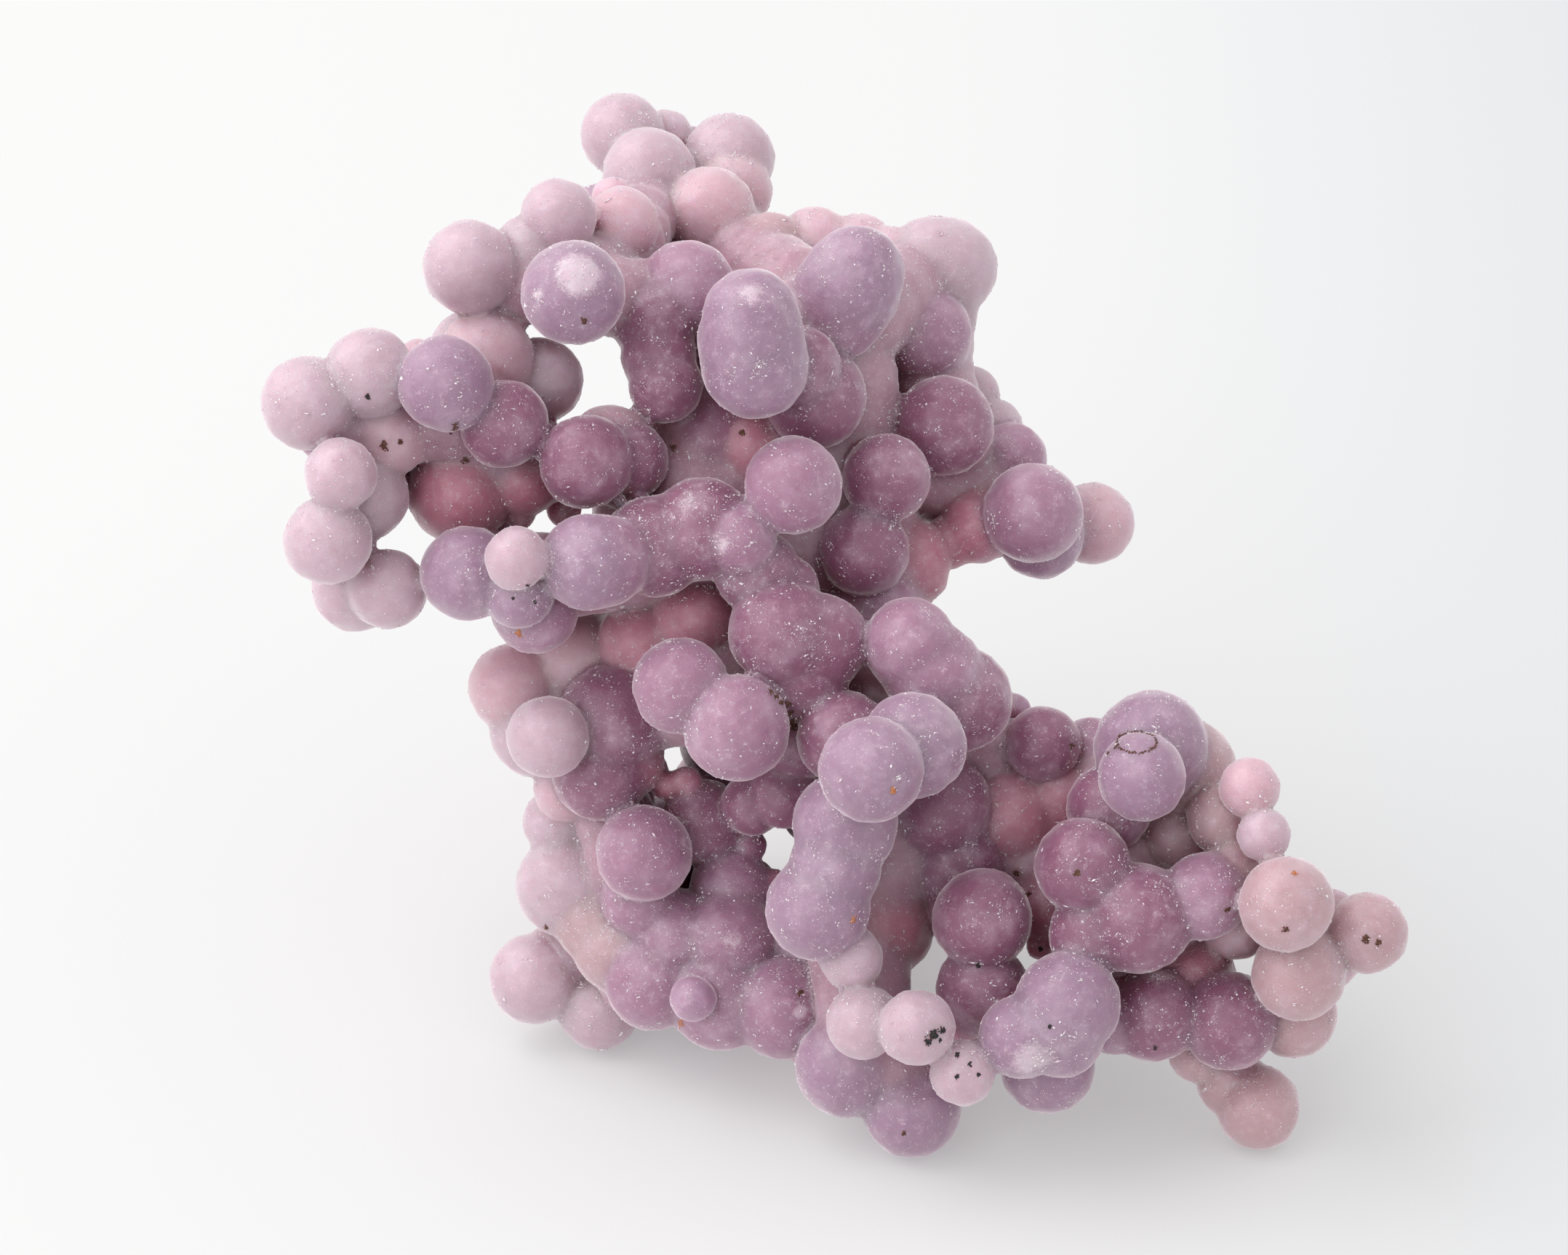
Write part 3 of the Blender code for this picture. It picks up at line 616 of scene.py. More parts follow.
@dataclass
class StoneSkin:
    """The one continuous surface of the cluster, fine enough for its creases."""

    plan: BerryPlan
    voxel: float = 0.2
    triangles: int = 194_000
    settling: int = 3
    longest_step: float = 0.2
    least_slope: float = 0.2
    enclosure_reach: float = 9.0
    enclosure_rays: int = 10
    ray_start: float = 0.05
    margin: float = 0.02
    fillet: float = 0.13
    bump_width: float = 0.75
    bump_height: float = 0.07
    collar: float = 0.4

    def ball_mesh(self) -> bpy.types.Mesh:
        """Join the balls.

        Returns:
            One mesh that holds every ball.
        """
        sphere = bmesh.new()
        bmesh.ops.create_icosphere(sphere, subdivisions=4, radius=MM)
        mesh = bpy.data.meshes.new("berries")
        sphere.to_mesh(mesh)
        sphere.free()
        shape = bmesh.new()
        for ball in self.plan.balls:
            copy = mesh.copy()
            seat = (ball.centre - self.plan.origin) * MM
            copy.transform(Matrix.Translation(seat) @ Matrix.Scale(ball.size, 4))
            shape.from_mesh(copy)
            bpy.data.meshes.remove(copy)
        shape.to_mesh(mesh)
        shape.free()
        return mesh

    @staticmethod
    def modified(mesh: bpy.types.Mesh, kind: str, **settings: Any) -> bpy.types.Mesh:
        """Put a mesh through one modifier.

        Args:
            mesh: The mesh, which is removed.
            kind: The modifier's type.
            settings: The modifier's settings.

        Returns:
            The new mesh.
        """
        helper = bpy.data.objects.new("helper", mesh)
        bpy.context.scene.collection.objects.link(helper)
        modifier = helper.modifiers.new(kind.title(), kind)
        for name, value in settings.items():
            setattr(modifier, name, value)
        graph = bpy.context.evaluated_depsgraph_get()
        made = bpy.data.meshes.new_from_object(helper.evaluated_get(graph))
        bpy.data.objects.remove(helper)
        bpy.data.meshes.remove(mesh)
        return made

    @staticmethod
    def drop_pockets(mesh: bpy.types.Mesh) -> None:
        """Keep the outer skin, and fill the pockets that the berries close in.

        Args:
            mesh: The fused berries.
        """
        shape = bmesh.new()
        shape.from_mesh(mesh)
        unseen = set(shape.verts)
        skins = []
        while unseen:
            skin = [unseen.pop()]
            for vert in skin:
                near = [edge.other_vert(vert) for edge in vert.link_edges]
                fresh = [other for other in near if other in unseen]
                unseen.difference_update(fresh)
                skin.extend(fresh)
            skins.append(skin)
        skins.sort(key=len)
        for skin in skins[:-1]:
            bmesh.ops.delete(shape, geom=skin, context="VERTS")
        shape.to_mesh(mesh)
        shape.free()

    def settle(self, mesh: bpy.types.Mesh, berries: BerryField) -> None:
        """Draw the vertices onto the berries' own surface, with low lumps.

        Args:
            mesh: The fused berries.
            berries: The run-together balls.
        """
        places = mesh_places(mesh)
        for _ in range(self.settling):
            sample = berries.sample(places)
            slope = np.maximum(np.einsum("ij,ij->i", sample.outward, sample.outward), self.least_slope)
            step = np.clip(sample.outside / slope, -self.longest_step, self.longest_step)
            places -= step[:, None] * sample.outward
        bumps = np.array([noise.noise(Vector(place) / self.bump_width) for place in places])
        put_places(mesh, places + (bumps * self.bump_height)[:, None] * sample.outward)

    def ways_out(self) -> list[Vector]:
        """Spread the rays over the half ball above a face.

        Returns:
            Their directions, with +Z as the way out.
        """
        golden = math.pi * (3 - math.sqrt(5))
        ways = []
        for ray in range(self.enclosure_rays):
            rise = math.sqrt((ray + 0.5) / self.enclosure_rays)
            turn = ray * golden
            flat = math.sqrt(1 - rise * rise)
            ways.append(Vector((flat * math.cos(turn), flat * math.sin(turn), rise)))
        return ways

    def enclosure(self, mesh: bpy.types.Mesh) -> np.ndarray:
        """Measure how closed in the skin is by the berries around it.

        Args:
            mesh: The skin.

        Returns:
            A number from 0 to 1 for each vertex.
        """
        tree = search_tree(mesh)
        ways = self.ways_out()
        closed = np.zeros(len(mesh.vertices))
        for index, vertex in enumerate(mesh.vertices):
            turned = vertex.normal.to_track_quat("Z", "Y")
            start = vertex.co / MM + vertex.normal * self.ray_start
            for way in ways:
                distance = tree.ray_cast(start, turned @ way, self.enclosure_reach)[3]
                if distance is not None:
                    closed[index] += 1 - distance / self.enclosure_reach
        return closed / self.enclosure_rays

    def build(self, berries: BerryField) -> bpy.types.Object:
        """Make the skin, with its tint and how closed in it is as attributes.

        Args:
            berries: The run-together balls that the skin follows.

        Returns:
            The finished piece, in place of the model's own node.
        """
        mesh = self.ball_mesh()
        mesh = self.modified(mesh, "REMESH", mode="VOXEL", voxel_size=self.voxel * MM, adaptivity=0)
        self.drop_pockets(mesh)
        self.settle(mesh, berries)
        faces = sum(len(face.vertices) - 2 for face in mesh.polygons)
        share = min(1.0, self.triangles / faces)
        mesh = self.modified(mesh, "DECIMATE", ratio=share, use_collapse_triangulate=True)
        low, high = (np.array(corner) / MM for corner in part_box(NODE))
        put_places(mesh, np.clip(mesh_places(mesh), low + self.margin, high - self.margin))
        mesh.name = "chalcedony_skin"
        mesh.shade_smooth()
        sample = berries.sample(mesh_places(mesh))
        tint = mesh.attributes.new("tint", "FLOAT_COLOR", "POINT")
        tint.data.foreach_set("color", np.column_stack([sample.tint, np.ones(len(sample.tint))]).ravel())
        collar = BerryField(self.plan, self.collar).sample(mesh_places(mesh)).crease
        set_skin_value(mesh, "crease", sample.crease)
        set_skin_value(mesh, "collar", collar)
        set_skin_value(mesh, "enclosure", self.enclosure(mesh))
        skin = bpy.data.objects.new("chalcedony_skin", mesh)
        bpy.context.scene.collection.objects.link(skin)
        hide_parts(NODE)
        finish_piece(skin)
        return skin

    @staticmethod
    def bloom_and_highlight(skin: bpy.types.Object, sight: Sight, patches: Iterable[FrostAndHighlightPatch]) -> None:
        """Write the whitish patches, partly frost and partly painted highlights, as an attribute of the
        skin.

        Args:
            skin: The finished skin.
            sight: The viewer's lines of sight onto it.
            patches: The blooms.
        """
        places = mesh_places(skin.data)
        frost_and_highlight = np.zeros(len(places))
        for patch in patches:
            seen = sight.hit(patch.across, patch.up)
            if seen is not None:
                away = np.linalg.norm(places - np.array(seen[0]), axis=1)
                frost_and_highlight = np.maximum(frost_and_highlight, patch.white * np.exp(-((away / patch.radius) ** 2)))
        set_skin_value(skin.data, "frost_and_highlight", frost_and_highlight)


def set_skin_value(mesh: bpy.types.Mesh, name: str, values: np.ndarray) -> None:
    """Write a number attribute of a mesh's vertices."""
    mesh.attributes.new(name, "FLOAT", "POINT").data.foreach_set("value", values)


def skin_value(mesh: bpy.types.Mesh, name: str) -> np.ndarray:
    """Read a number attribute of a mesh's vertices.

    Args:
        mesh: The mesh.
        name: The attribute's name.

    Returns:
        Its values, one a vertex.
    """
    values = np.empty(len(mesh.vertices))
    mesh.attributes[name].data.foreach_get("value", values)
    return values


@dataclass
class GrainBed:
    """Many small many-sided grains joined in one mesh."""

    name: str

    @staticmethod
    def grain() -> tuple[np.ndarray, np.ndarray]:
        """Shape one grain, a double pyramid of radius 1.

        Returns:
            Its corners, and its faces as rows of three corners.
        """
        shape = bmesh.new()
        bmesh.ops.create_uvsphere(shape, u_segments=4, v_segments=2, radius=1.0)
        bmesh.ops.recalc_face_normals(shape, faces=shape.faces)
        corners = np.array([vert.co for vert in shape.verts])
        faces = np.array([[vert.index for vert in face.verts] for face in shape.faces])
        shape.free()
        return corners, faces

    def build(self, places: np.ndarray, turns: np.ndarray, sizes: np.ndarray) -> bpy.types.Object:
        """Lay the grains.

        Args:
            places: Their centres in mm, one a row.
            turns: Their 3 by 3 turning matrices.
            sizes: Their half sizes along their own three axes, in mm.

        Returns:
            The joined mesh, as a piece that moves with the stone.
        """
        corners, faces = self.grain()
        spread = corners[None] * sizes[:, None]
        vertices = np.einsum("nij,nkj->nki", turns, spread) + places[:, None]
        loops = (faces[None] + (np.arange(len(places)) * len(corners))[:, None, None]).reshape(-1)
        mesh = bpy.data.meshes.new(self.name)
        count = len(places) * len(faces)
        mesh.vertices.add(len(places) * len(corners))
        mesh.vertices.foreach_set("co", (vertices * MM).ravel())
        mesh.loops.add(count * 3)
        mesh.loops.foreach_set("vertex_index", loops)
        mesh.polygons.add(count)
        mesh.polygons.foreach_set("loop_start", np.arange(count) * 3)
        mesh.update(calc_edges=True)
        piece = bpy.data.objects.new(self.name, mesh)
        bpy.context.scene.collection.objects.link(piece)
        finish_piece(piece)
        return piece


def lying_turns(chance: np.random.Generator, normals: np.ndarray) -> np.ndarray:
    """Turn grains to lie flat on the skin, long side any way round.

    Args:
        chance: The source of chance.
        normals: The way out of the skin at each grain.

    Returns:
        The grains' 3 by 3 turning matrices.
    """
    first = chance.normal(size=normals.shape)
    first -= np.einsum("ij,ij->i", first, normals)[:, None] * normals
    first /= np.linalg.norm(first, axis=1)[:, None]
    return np.stack([first, np.cross(normals, first), normals], axis=2)


@dataclass
class QuartzSugar:
    """The sparkling druse: tiny quartz grains half sunk in the skin, thicker in drifts and blooms."""

    skin: bpy.types.Object
    beds: int = 5
    grains_a_bed: int = 24_000
    half_size: float = 0.030
    size_spread: float = 0.42
    largest: float = 0.10
    thinness: float = 0.8
    drift_width: float = 1.3
    drift_lift: float = 0.05
    thread_width: float = 0.35
    thread_share: float = 0.14
    off_thread: float = 0.3
    on_thread: float = 3.0
    bare: float = 0.05
    drift: float = 1.7
    top: float = 0.1
    rim: float = 9.0
    widest_rim: float = 0.5
    bloom_and_highlight: float = 6.0
    hidden_loss: float = 0.5
    stretch: float = 0.6
    longest: float = 3.0
    margin: float = 0.15
    seed: int = 5

    def face_weights(self) -> np.ndarray:
        """Weigh up where the grains go.

        Returns:
            How thickly each face of the skin is strewn, times its area.
        """
        mesh = self.skin.data
        count = len(mesh.polygons)
        area = np.empty(count)
        mesh.polygons.foreach_get("area", area)
        corners = self.corner_index()
        frost_and_highlight = skin_value(mesh, "frost_and_highlight")[corners].mean(axis=1)
        closed = skin_value(mesh, "enclosure")[corners].mean(axis=1)
        collar = np.clip(skin_value(mesh, "collar")[corners].mean(axis=1), 0, self.widest_rim)
        threads = np.clip(1 - np.abs(self.face_noise(self.thread_width)) / self.thread_share, 0, 1)
        drifts = np.clip(self.face_noise(self.drift_width) + self.drift_lift, 0, 1)
        drifts = drifts * (self.off_thread + self.on_thread * threads)
        rising = np.clip(self.face_normals()[:, 2], 0, 1)
        even = self.bare + self.drift * drifts + self.top * rising**2
        thick = even + self.rim * collar * threads + self.bloom_and_highlight * frost_and_highlight * threads
        return area * thick * (1 - self.hidden_loss * closed)

    def face_noise(self, width: float) -> np.ndarray:
        """Noise of the given width in mm at each face of the skin."""
        return np.array([noise.noise(face.center / (width * MM)) for face in self.skin.data.polygons])

    def face_normals(self) -> np.ndarray:
        """Read the faces' normals.

        Returns:
            The way out of each face of the skin.
        """
        normals = np.empty(len(self.skin.data.polygons) * 3)
        self.skin.data.polygons.foreach_get("normal", normals)
        return normals.reshape(-1, 3)

    def corner_index(self) -> np.ndarray:
        """Read the faces' corners.

        Returns:
            The numbers of the three vertices of each face.
        """
        mesh = self.skin.data
        corners = np.empty(len(mesh.loops), dtype=np.int64)
        mesh.loops.foreach_get("vertex_index", corners)
        return corners.reshape(-1, 3)

    def build(self) -> list[bpy.types.Object]:
        """Strew the grains.

        Returns:
            Their beds.
        """
        chance = np.random.default_rng(self.seed)
        total = self.beds * self.grains_a_bed
        share = self.face_weights()
        faces = chance.choice(len(share), size=total, p=share / share.sum())
        corners = mesh_places(self.skin.data)[self.corner_index()[faces]]
        first, second = np.sort(chance.uniform(size=(2, total)), axis=0)
        mix = np.stack([first, second - first, 1 - second], axis=1)
        places = np.einsum("nk,nkj->nj", mix, corners)
        size = np.minimum(self.half_size * np.exp(chance.normal(0, self.size_spread, total)), self.largest)
        stretch = np.minimum(1 + chance.exponential(self.stretch, total), self.longest)
        sizes = size[:, None] * np.stack([stretch, stretch**-0.5, np.full(total, self.thinness)], axis=1)
        turns = lying_turns(chance, self.face_normals()[faces])
        low, high = (np.array(corner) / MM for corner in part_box(NODE))
        fits = ((places > low + self.margin) & (places < high - self.margin)).all(axis=1)
        places, sizes, turns = places[fits], sizes[fits], turns[fits]
        beds = []
        for number, rows in enumerate(np.array_split(np.arange(len(places)), self.beds)):
            bed = GrainBed(f"quartz_sugar_{number + 1}").build(places[rows], turns[rows], sizes[rows])
            beds.append(bed)
        return beds


@dataclass(frozen=True)
class Speck:
    """A crumb of ore on the skin: its place on the sheet, its radius in mm and how many grains it has."""

    across: float
    up: float
    radius: float
    grains: int


@dataclass
class OreSpecks:
    """Crumbs of one ore, each a little heap of grains where the viewer sees it."""

    name: str
    specks: Sequence[Speck]
    half_sizes: tuple[float, float, float] = (0.08, 0.075, 0.03)
    size_range: tuple[float, float] = (0.4, 1.3)
    heaping: int = 2
    gathering: float = 2.2
    seed: int = 3

    def build(self, sight: Sight) -> bpy.types.Object:
        """Lay every speck's grains on the skin.

        Args:
            sight: The viewer's lines of sight onto the skin.

        Returns:
            The specks, as one piece.
        """
        chance = np.random.default_rng(self.seed)
        seats, sizes = [], []
        for speck in self.specks:
            for _ in range(speck.grains * self.heaping):
                aside = chance.normal(0, speck.radius / self.gathering, 2)
                seen = sight.hit(speck.across + aside[0], speck.up + aside[1])
                if seen is not None:
                    seats.append(seen)
                    sizes.append(np.array(self.half_sizes) * chance.uniform(*self.size_range, 3))
        places, normals = (np.array(column) for column in zip(*seats, strict=True))
        return GrainBed(self.name).build(places, lying_turns(chance, normals), np.array(sizes))


class Wire:
    """A socket in shader maths, so that its nodes read as an expression."""

    def __init__(self, bench: ShaderBench, socket: bpy.types.NodeSocket) -> None:
        """Hold an output socket."""
        self.bench = bench
        self.socket = socket

    def __add__(self, other: Wire | float) -> Wire:
        """Self plus the other."""
        return self.bench.maths("ADD", self, other)

    __radd__ = __add__

    def __sub__(self, other: Wire | float) -> Wire:
        """Self less the other."""
        return self.bench.maths("SUBTRACT", self, other)

    def __rsub__(self, other: float) -> Wire:
        """The other less self."""
        return self.bench.maths("SUBTRACT", other, self)

    def __mul__(self, other: Wire | float) -> Wire:
        """Self times the other."""
        return self.bench.maths("MULTIPLY", self, other)

    __rmul__ = __mul__

    def __pow__(self, other: float) -> Wire:
        """Self to a power."""
        return self.bench.maths("POWER", self, other)

    def held(self) -> Wire:
        """Self held between 0 and 1."""
        return self.bench.maths("ADD", self, 0.0, use_clamp=True)


class ShaderBench:
    """A material under construction, around its one Principled shader."""

    def __init__(self, name: str) -> None:
        """Start a material.

        Args:
            name: Its name.
        """
        self.material = bpy.data.materials.new(name)
        self.material.use_nodes = True
        self.tree = self.material.node_tree
        self.shader = self.tree.nodes["Principled BSDF"]
        self.place = self.node("ShaderNodeTexCoord").outputs["Object"]

    def node(self, kind: str, settings: dict[str, Any] | None = None,
             sockets: dict[str | int, Any] | None = None) -> bpy.types.Node:
        """Make a node.

        Args:
            kind: Its type.
            settings: Its own settings, which are made first.
            sockets: A value, a Wire or an output socket for each input.

        Returns:
            The node.
        """
        made = self.tree.nodes.new(kind)
        for name, value in (settings or {}).items():
            setattr(made, name, value)
        for key, value in (sockets or {}).items():
            self.feed(made.inputs[key], value)
        return made

    def feed(self, socket: bpy.types.NodeSocket, value: Any) -> None:
        """Give an input socket a value or a link.

        Args:
            socket: The input.
            value: A value, a Wire or an output socket.
        """
        source = value.socket if isinstance(value, Wire) else value
        if isinstance(source, bpy.types.NodeSocket):
            self.tree.links.new(source, socket)
        else:
            socket.default_value = source

    def finish(self, values: dict[str, Any]) -> bpy.types.Material:
        """Give the shader its values.

        Args:
            values: A value, a Wire or an output socket for each input.

        Returns:
            The finished material.
        """
        for name, value in values.items():
            self.feed(self.shader.inputs[name], value)
        return self.material

    def maths(self, operation: str, *values: Wire | float, use_clamp: bool = False) -> Wire:
        """Add a Math node.

        Args:
            operation: What it works out.
            values: Its inputs, in order.
            use_clamp: Whether the result is held between 0 and 1.

        Returns:
            Its result.
        """
        made = self.node("ShaderNodeMath", {"operation": operation, "use_clamp": use_clamp},
                         dict(enumerate(values)))
        return Wire(self, made.outputs[0])

    def cloud(self, grain: float, detail: float = 3.0, rough: float = 0.55) -> Wire:
        """Noise between 0 and 1.

        Args:
            grain: About how wide its patches are, in mm.
            detail: How many finer layers it has.
            rough: How strong the finer layers are.

        Returns:
            The noise.
        """
        made = self.node("ShaderNodeTexNoise", None, {
            "Vector": self.place, "Scale": 1 / (grain * MM), "Detail": detail, "Roughness": rough})
        return Wire(self, made.outputs["Fac"])

    def step(self, value: Wire, low: float, high: float) -> Wire:
        """A smooth step of a value.

        Args:
            value: The value.
            low: Where the step starts, at 0.
            high: Where it ends, at 1.

        Returns:
            The step.
        """
        made = self.node("ShaderNodeMapRange", {"interpolation_type": "SMOOTHSTEP"},
                         {"Value": value, "From Min": low, "From Max": high})
        return Wire(self, made.outputs["Result"])

    def number(self, attribute: str) -> Wire:
        """A number attribute of the piece."""
        return Wire(self, self.node("ShaderNodeAttribute", {"attribute_name": attribute}).outputs["Fac"])

    def colour(self, attribute: str) -> Wire:
        """A colour attribute of the piece."""
        return Wire(self, self.node("ShaderNodeAttribute", {"attribute_name": attribute}).outputs["Color"])

    def blend(self, share: Wire | float, first: Any, second: Any) -> Wire:
        """Mix two colours.

        Args:
            share: How much of the second colour, from 0 to 1.
            first: The first colour, as a value or a Wire.
            second: The second colour, as a value or a Wire.

        Returns:
            The mixed colour.
        """
        made = self.node("ShaderNodeMix", {"data_type": "RGBA"})
        factor = next(socket for socket in made.inputs if socket.name == "Factor" and socket.enabled)
        colours = [socket for socket in made.inputs if socket.type == "RGBA"]
        for socket, value in zip((factor, *colours), (share, first, second), strict=True):
            self.feed(socket, value)
        return Wire(self, next(socket for socket in made.outputs if socket.type == "RGBA"))

    def bump(self, height: Wire, depth: float) -> Wire:
        """Roughen the surface.

        Args:
            height: The relief, from 0 to 1.
            depth: What its full range measures, in mm.

        Returns:
            The normal.
        """
        made = self.node("ShaderNodeBump", None, {"Height": height, "Distance": depth * MM, "Strength": 1.0})
        return Wire(self, made.outputs["Normal"])


Colour = tuple[float, float, float]


def opaque(colour: Colour) -> tuple[float, float, float, float]:
    """A colour with full alpha."""
    return (*colour, 1.0)


@dataclass(frozen=True)
class ChalcedonyFinish:
    """Cloudy, slightly translucent lilac stone, with painted shade that darkens it to maroon where the
    berries close it in.
    """

    # The maroon of the painted shade, mixed in where the berries close the skin in.
    deep: Colour = (0.27, 0.068, 0.105)
    milk: Colour = (0.66, 0.52, 0.62)
    frost_and_highlight_white: Colour = (0.92, 0.82, 0.87)
    glow_depth: float = 2.8
    glow: Colour = (1.0, 0.45, 0.65)
    relief: float = 0.14
    sheen: Colour = (1.0, 0.90, 0.93)

    def make(self) -> bpy.types.Material:
        """Make the material.

        Returns:
            Tinted stone, milky in clouds, with painted shade where it is closed in, and whitish where it is
            frosted and where highlights are painted.
        """
        bench = ShaderBench("lilac chalcedony")
        tint = bench.colour("tint")
        closed = bench.number("enclosure")
        crease = bench.number("crease")
        frost_and_highlight = bench.number("frost_and_highlight")
        clouds = bench.cloud(2.2, 5.0, 0.6)
        mottle = bench.cloud(0.45, 4.0, 0.65)
        grains = bench.cloud(0.09, 2.0, 0.6)
        milky = (bench.step(clouds, 0.45, 0.72) * 0.30 + bench.step(mottle, 0.5, 0.75) * 0.22).held()
        base = bench.blend(milky, tint, opaque(self.milk))
        # Painted shade: the colour goes to maroon where the berries close the skin in, and more so in its
        # creases.
        shade = (bench.step(closed, 0.40, 0.95) * 0.8 + crease * bench.step(closed, 0.2, 0.6) * 0.5).held()
        base = bench.blend(shade, base, opaque(self.deep))
        dust = bench.cloud(0.055, 1.0, 0.5)
        collar = bench.number("collar")
        # Whitish crust within the blooms, partly frost and partly painted highlights.
        crust_and_highlight = bench.step(grains * 0.45 + mottle * 0.35 + frost_and_highlight * 0.55, 0.50, 0.68)
        crumbs = bench.step(dust * 0.6 + mottle * 0.4 + collar * 0.08, 0.58, 0.70) * (1 - closed)
        white = (crust_and_highlight * bench.step(frost_and_highlight, 0.05, 0.6) * 0.5 + crumbs * 0.5).held()
        base = bench.blend(white, base, opaque(self.frost_and_highlight_white))
        height = grains * 0.55 + mottle * 0.9
        return bench.finish({
            "Base Color": base,
            "Roughness": (0.42 + mottle * 0.2).held(),
            "Subsurface Weight": 1.0,
            "Subsurface Radius": self.glow,
            "Subsurface Scale": self.glow_depth * MM,
            "IOR": 1.53,
            "Coat Weight": 1.0,
            "Coat Roughness": 0.38,
            "Sheen Weight": 1.0,
            "Sheen Roughness": 0.32,
            "Sheen Tint": opaque(self.sheen),
            "Normal": bench.bump(height, self.relief),
        })


@dataclass(frozen=True)
class QuartzFinish:
    """Bright glassy grains of quartz, from clear lilac to white."""

    dull: Colour = (0.62, 0.47, 0.57)
    bright: Colour = (0.97, 0.94, 0.96)
    roughness: float = 0.12

    def make(self) -> bpy.types.Material:
        """Make the material.

        Returns:
            Quartz whose grains are dull or bright by chance.
        """
        bench = ShaderBench("quartz sugar")
        chance = bench.step(bench.cloud(0.22, 1.0), 0.35, 0.65)
        return bench.finish({
            "Base Color": bench.blend(chance, opaque(self.dull), opaque(self.bright)),
            "Roughness": (chance * 0.1 + self.roughness).held(),
            "IOR": 1.54,
            "Specular IOR Level": 0.8,
        })


@dataclass(frozen=True)
class OreFinish:
    """Dull earthy ore with lighter flecks."""

    name: str
    body: Colour
    fleck: Colour
    roughness: float

    def make(self) -> bpy.types.Material:
        """Make the material.

        Returns:
            Ore with lighter flecks.
        """
        bench = ShaderBench(self.name)
        flecks = bench.step(bench.cloud(0.12, 3.0), 0.45, 0.7)
        return bench.finish({
            "Base Color": bench.blend(flecks, opaque(self.body), opaque(self.fleck)),
            "Roughness": (flecks * 0.2 + self.roughness).held(),
        })


class Ore(Enum):
    """The ores that speckle the stone."""

    MANGANESE = OreFinish("manganese ore", (0.012, 0.010, 0.010), (0.05, 0.045, 0.04), 0.45)
    IRON = OreFinish("brown iron ore", (0.09, 0.035, 0.022), (0.20, 0.09, 0.05), 0.6)
    RUST = OreFinish("orange iron ore", (0.50, 0.17, 0.07), (0.66, 0.32, 0.17), 0.7)


@dataclass(frozen=True)
class Lamp:
    """A soft square light: where it stands from the stone in m, its side in m and its power in watts."""

    name: str
    seat: tuple[float, float, float]
    side: float
    power: float
    colour: Colour = (1.0, 1.0, 1.0)

    def build(self) -> None:
        """Hang the light and turn it to the stone."""
        light = bpy.data.lights.new(self.name, "AREA")
        light.size = self.side
        light.energy = self.power
        light.color = self.colour
        lamp = bpy.data.objects.new(self.name, light)
        lamp.location = self.seat
        lamp.rotation_euler = Vector(self.seat).to_track_quat("Z", "Y").to_euler()
        bpy.context.scene.collection.objects.link(lamp)


@dataclass
class Studio:
    """The white table, the soft lights and the camera at the photograph's angle."""

    plan: BerryPlan
    sensor: float = 36.0
    table_side: float = 4.0
    table_white: Colour = (0.455, 0.455, 0.455)
    # Painted shade: the table's colour toward the right.
    table_painted_shade: Colour = (0.365, 0.38, 0.40)
    grade: tuple[float, float] = (0.004, 0.075)
    table_glow: float = 0.31
    sky: float = 0.85
    lamps: tuple[Lamp, ...] = (
        Lamp("key", (-0.5, 0.08, 0.66), 0.9, 5.6, (1.0, 0.99, 0.98)),
        Lamp("fill", (-0.5, -0.75, 0.5), 0.6, 2.0),
    )

    def camera(self) -> None:
        """Set the camera square to the leaning sheet."""
        data = bpy.data.cameras.new("camera")
        data.sensor_width = self.sensor
        data.lens = self.sensor * SIGHT_DISTANCE / PHOTO_WIDTH
        data.clip_start = 0.01
        camera = bpy.data.objects.new("camera", data)
        camera.location = self.plan.eye * MM
        camera.rotation_euler = (math.pi / 2 - SIGHT_DROP, 0, 0)
        bpy.context.scene.collection.objects.link(camera)
        bpy.context.scene.camera = camera

    def table(self) -> None:
        """Lay the table under the stone, with painted shade that greys it to the right."""
        shape = bmesh.new()
        bmesh.ops.create_grid(shape, x_segments=1, y_segments=1, size=self.table_side / 2)
        mesh = bpy.data.meshes.new("table")
        shape.to_mesh(mesh)
        shape.free()
        table = bpy.data.objects.new("table", mesh)
        bpy.context.scene.collection.objects.link(table)
        bench = ShaderBench("white table")
        across = Wire(bench, bench.node("ShaderNodeSeparateXYZ", None, {"Vector": bench.place}).outputs["X"])
        grade = bench.step(across, *self.grade)
        mesh.materials.append(bench.finish({
            "Base Color": bench.blend(grade, opaque(self.table_white), opaque(self.table_painted_shade)),
            "Roughness": 0.8,
            "Specular IOR Level": 0.1,
            "Emission Color": (1, 1, 1, 1),
            "Emission Strength": self.table_glow,
        }))

    def build(self) -> None:
        """Set up everything around the stone."""
        scene = bpy.context.scene
        scene.view_settings.view_transform = "Standard"
        world = bpy.data.worlds.new("studio")
        world.use_nodes = True
        world.node_tree.nodes["Background"].inputs["Color"].default_value = (1, 1, 1, 1)
        world.node_tree.nodes["Background"].inputs["Strength"].default_value = self.sky
        scene.world = world
        self.camera()
        self.table()
        for lamp in self.lamps:
            lamp.build()


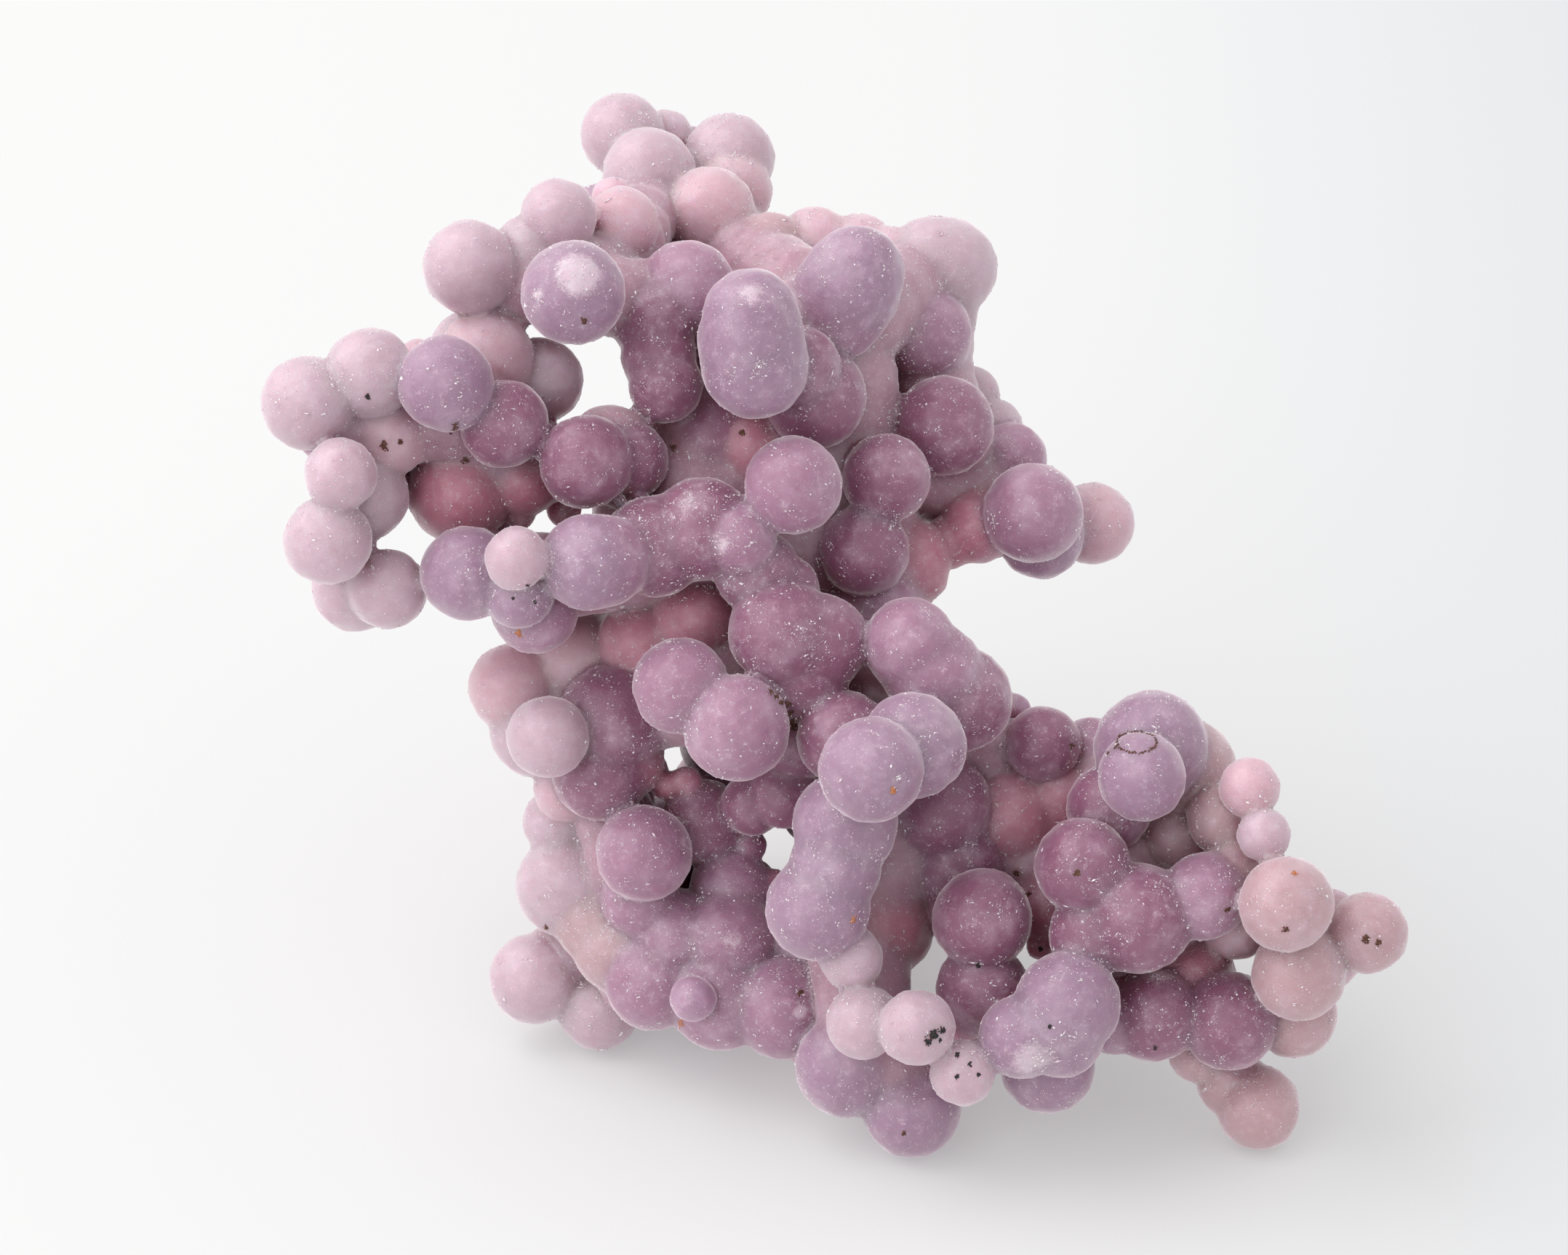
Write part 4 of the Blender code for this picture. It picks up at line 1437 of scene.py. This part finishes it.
# Whitish blooms, partly frost and partly painted highlights on berry tops and a painted glow: across, up,
# radius, how white
FROST_AND_HIGHLIGHTS = (
    FrostAndHighlightPatch(-11.3, 51.9, 1.3, 0.95), FrostAndHighlightPatch(-13.5, 50.6, 0.35, 1.0),
    FrostAndHighlightPatch(-1.8, 50.8, 1.0, 0.55), FrostAndHighlightPatch(-5.3, 39.4, 1.1, 0.45),
    FrostAndHighlightPatch(-7.2, 39.4, 0.9, 0.35), FrostAndHighlightPatch(20.5, 13.3, 1.0, 0.6),
    FrostAndHighlightPatch(-3.4, 36.9, 0.9, 0.5), FrostAndHighlightPatch(27.6, 17.2, 0.8, 0.3), FrostAndHighlightPatch(13.6, 8.6, 1.3, 0.7),
    FrostAndHighlightPatch(-5.6, 20.8, 0.4, 0.9), FrostAndHighlightPatch(0.9, 11.3, 0.5, 0.8), FrostAndHighlightPatch(-2.9, 15.2, 0.7, 0.6),
)
# The dark ring where a berry broke off: its middle across and up, and its half width and half height
RING_ACROSS, RING_UP, RING_WIDE, RING_HIGH = 19.4, 26.1, 1.1, 0.58
RING_SPECKS = 38
RING_STEP = 1 / 6
RING = [
    Speck(RING_ACROSS + RING_WIDE * math.cos(turn), RING_UP + RING_HIGH * math.sin(turn), 0.07, 2)
    for turn in (speck * RING_STEP for speck in range(RING_SPECKS))
]
# Crumbs of ore: across, up, radius, grains
SPECKS = {
    "MANGANESE": (
        Speck(-22.9, 45.1, 0.12, 14), Speck(10.7, 13.8, 0.14, 16), Speck(8.25, 10.0, 0.26, 50),
        Speck(8.75, 10.25, 0.16, 16), Speck(7.95, 9.6, 0.2, 20), Speck(8.6, 9.7, 0.12, 8),
        Speck(14.1, 14.7, 0.12, 12), Speck(14.6, 10.5, 0.10, 9), Speck(9.5, 8.9, 0.12, 12),
        Speck(10.2, 8.4, 0.10, 10), Speck(9.5, 7.7, 0.10, 10), Speck(10.7, 7.8, 0.08, 8),
        Speck(-14.1, 34.7, 0.08, 8), Speck(-13.7, 33.8, 0.08, 8), Speck(-14.9, 34.0, 0.08, 8),
        Speck(20.4, 9.3, 0.10, 9),
    ),
    "IRON": (
        Speck(-22.0, 42.4, 0.22, 26), Speck(-21.1, 42.6, 0.16, 16), Speck(-18.1, 43.4, 0.22, 26),
        Speck(-17.5, 41.6, 0.2, 20), Speck(-11.0, 49.2, 0.16, 14), Speck(0.5, 27.1, 0.3, 80),
        Speck(0.3, 27.7, 0.2, 24), Speck(0.2, 28.2, 0.16, 14),
        Speck(-0.7, 28.9, 0.16, 18), Speck(-0.4, 28.6, 0.16, 18), Speck(-0.1, 28.3, 0.16, 18),
        Speck(12.8, 18.9, 0.14, 12), Speck(13.4, 17.7, 0.16, 14), Speck(16.1, 18.9, 0.16, 14),
        Speck(15.8, 25.9, 0.14, 12), Speck(24.4, 16.9, 0.14, 12), Speck(27.6, 15.8, 0.16, 14),
        Speck(32.0, 15.3, 0.2, 22), Speck(32.7, 15.1, 0.18, 18), Speck(-13.1, 15.9, 0.14, 12),
        Speck(-6.1, 42.3, 0.16, 14), Speck(-2.3, 43.1, 0.18, 16), Speck(0.9, 12.3, 0.14, 12),
        Speck(6.6, 4.6, 0.12, 10),
        *RING,
        Speck(18.2, 25.8, 0.10, 10), Speck(17.8, 25.5, 0.10, 8),
    ),
    "RUST": (
        Speck(-14.6, 32.1, 0.18, 18), Speck(6.0, 23.4, 0.2, 20), Speck(3.8, 16.3, 0.2, 16),
        Speck(-5.7, 10.6, 0.2, 18), Speck(28.1, 18.9, 0.14, 9),
    ),
}


def dress(piece: bpy.types.Object, finish: bpy.types.Material) -> None:
    """Give a piece its one finish."""
    piece.data.materials.clear()
    piece.data.materials.append(finish)


def main() -> None:
    """Dress the cluster and stand it in the studio."""
    logging.basicConfig(level=logging.INFO, format="%(name)s: %(message)s")
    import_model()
    plan = BerryPlan()
    log.info("%d balls", len(plan.balls))
    Studio(plan).build()
    stone = StoneSkin(plan)
    skin = stone.build(BerryField(plan, stone.fillet))
    dress(skin, ChalcedonyFinish().make())
    sight = Sight(plan, skin)
    stone.bloom_and_highlight(skin, sight, FROST_AND_HIGHLIGHTS)
    quartz = QuartzFinish().make()
    for bed in QuartzSugar(skin).build():
        dress(bed, quartz)
    for ore in Ore:
        crumbs = OreSpecks(ore.name.lower() + "_specks", SPECKS[ore.name]).build(sight)
        dress(crumbs, ore.value.make())


if __name__ == "__main__":
    main()
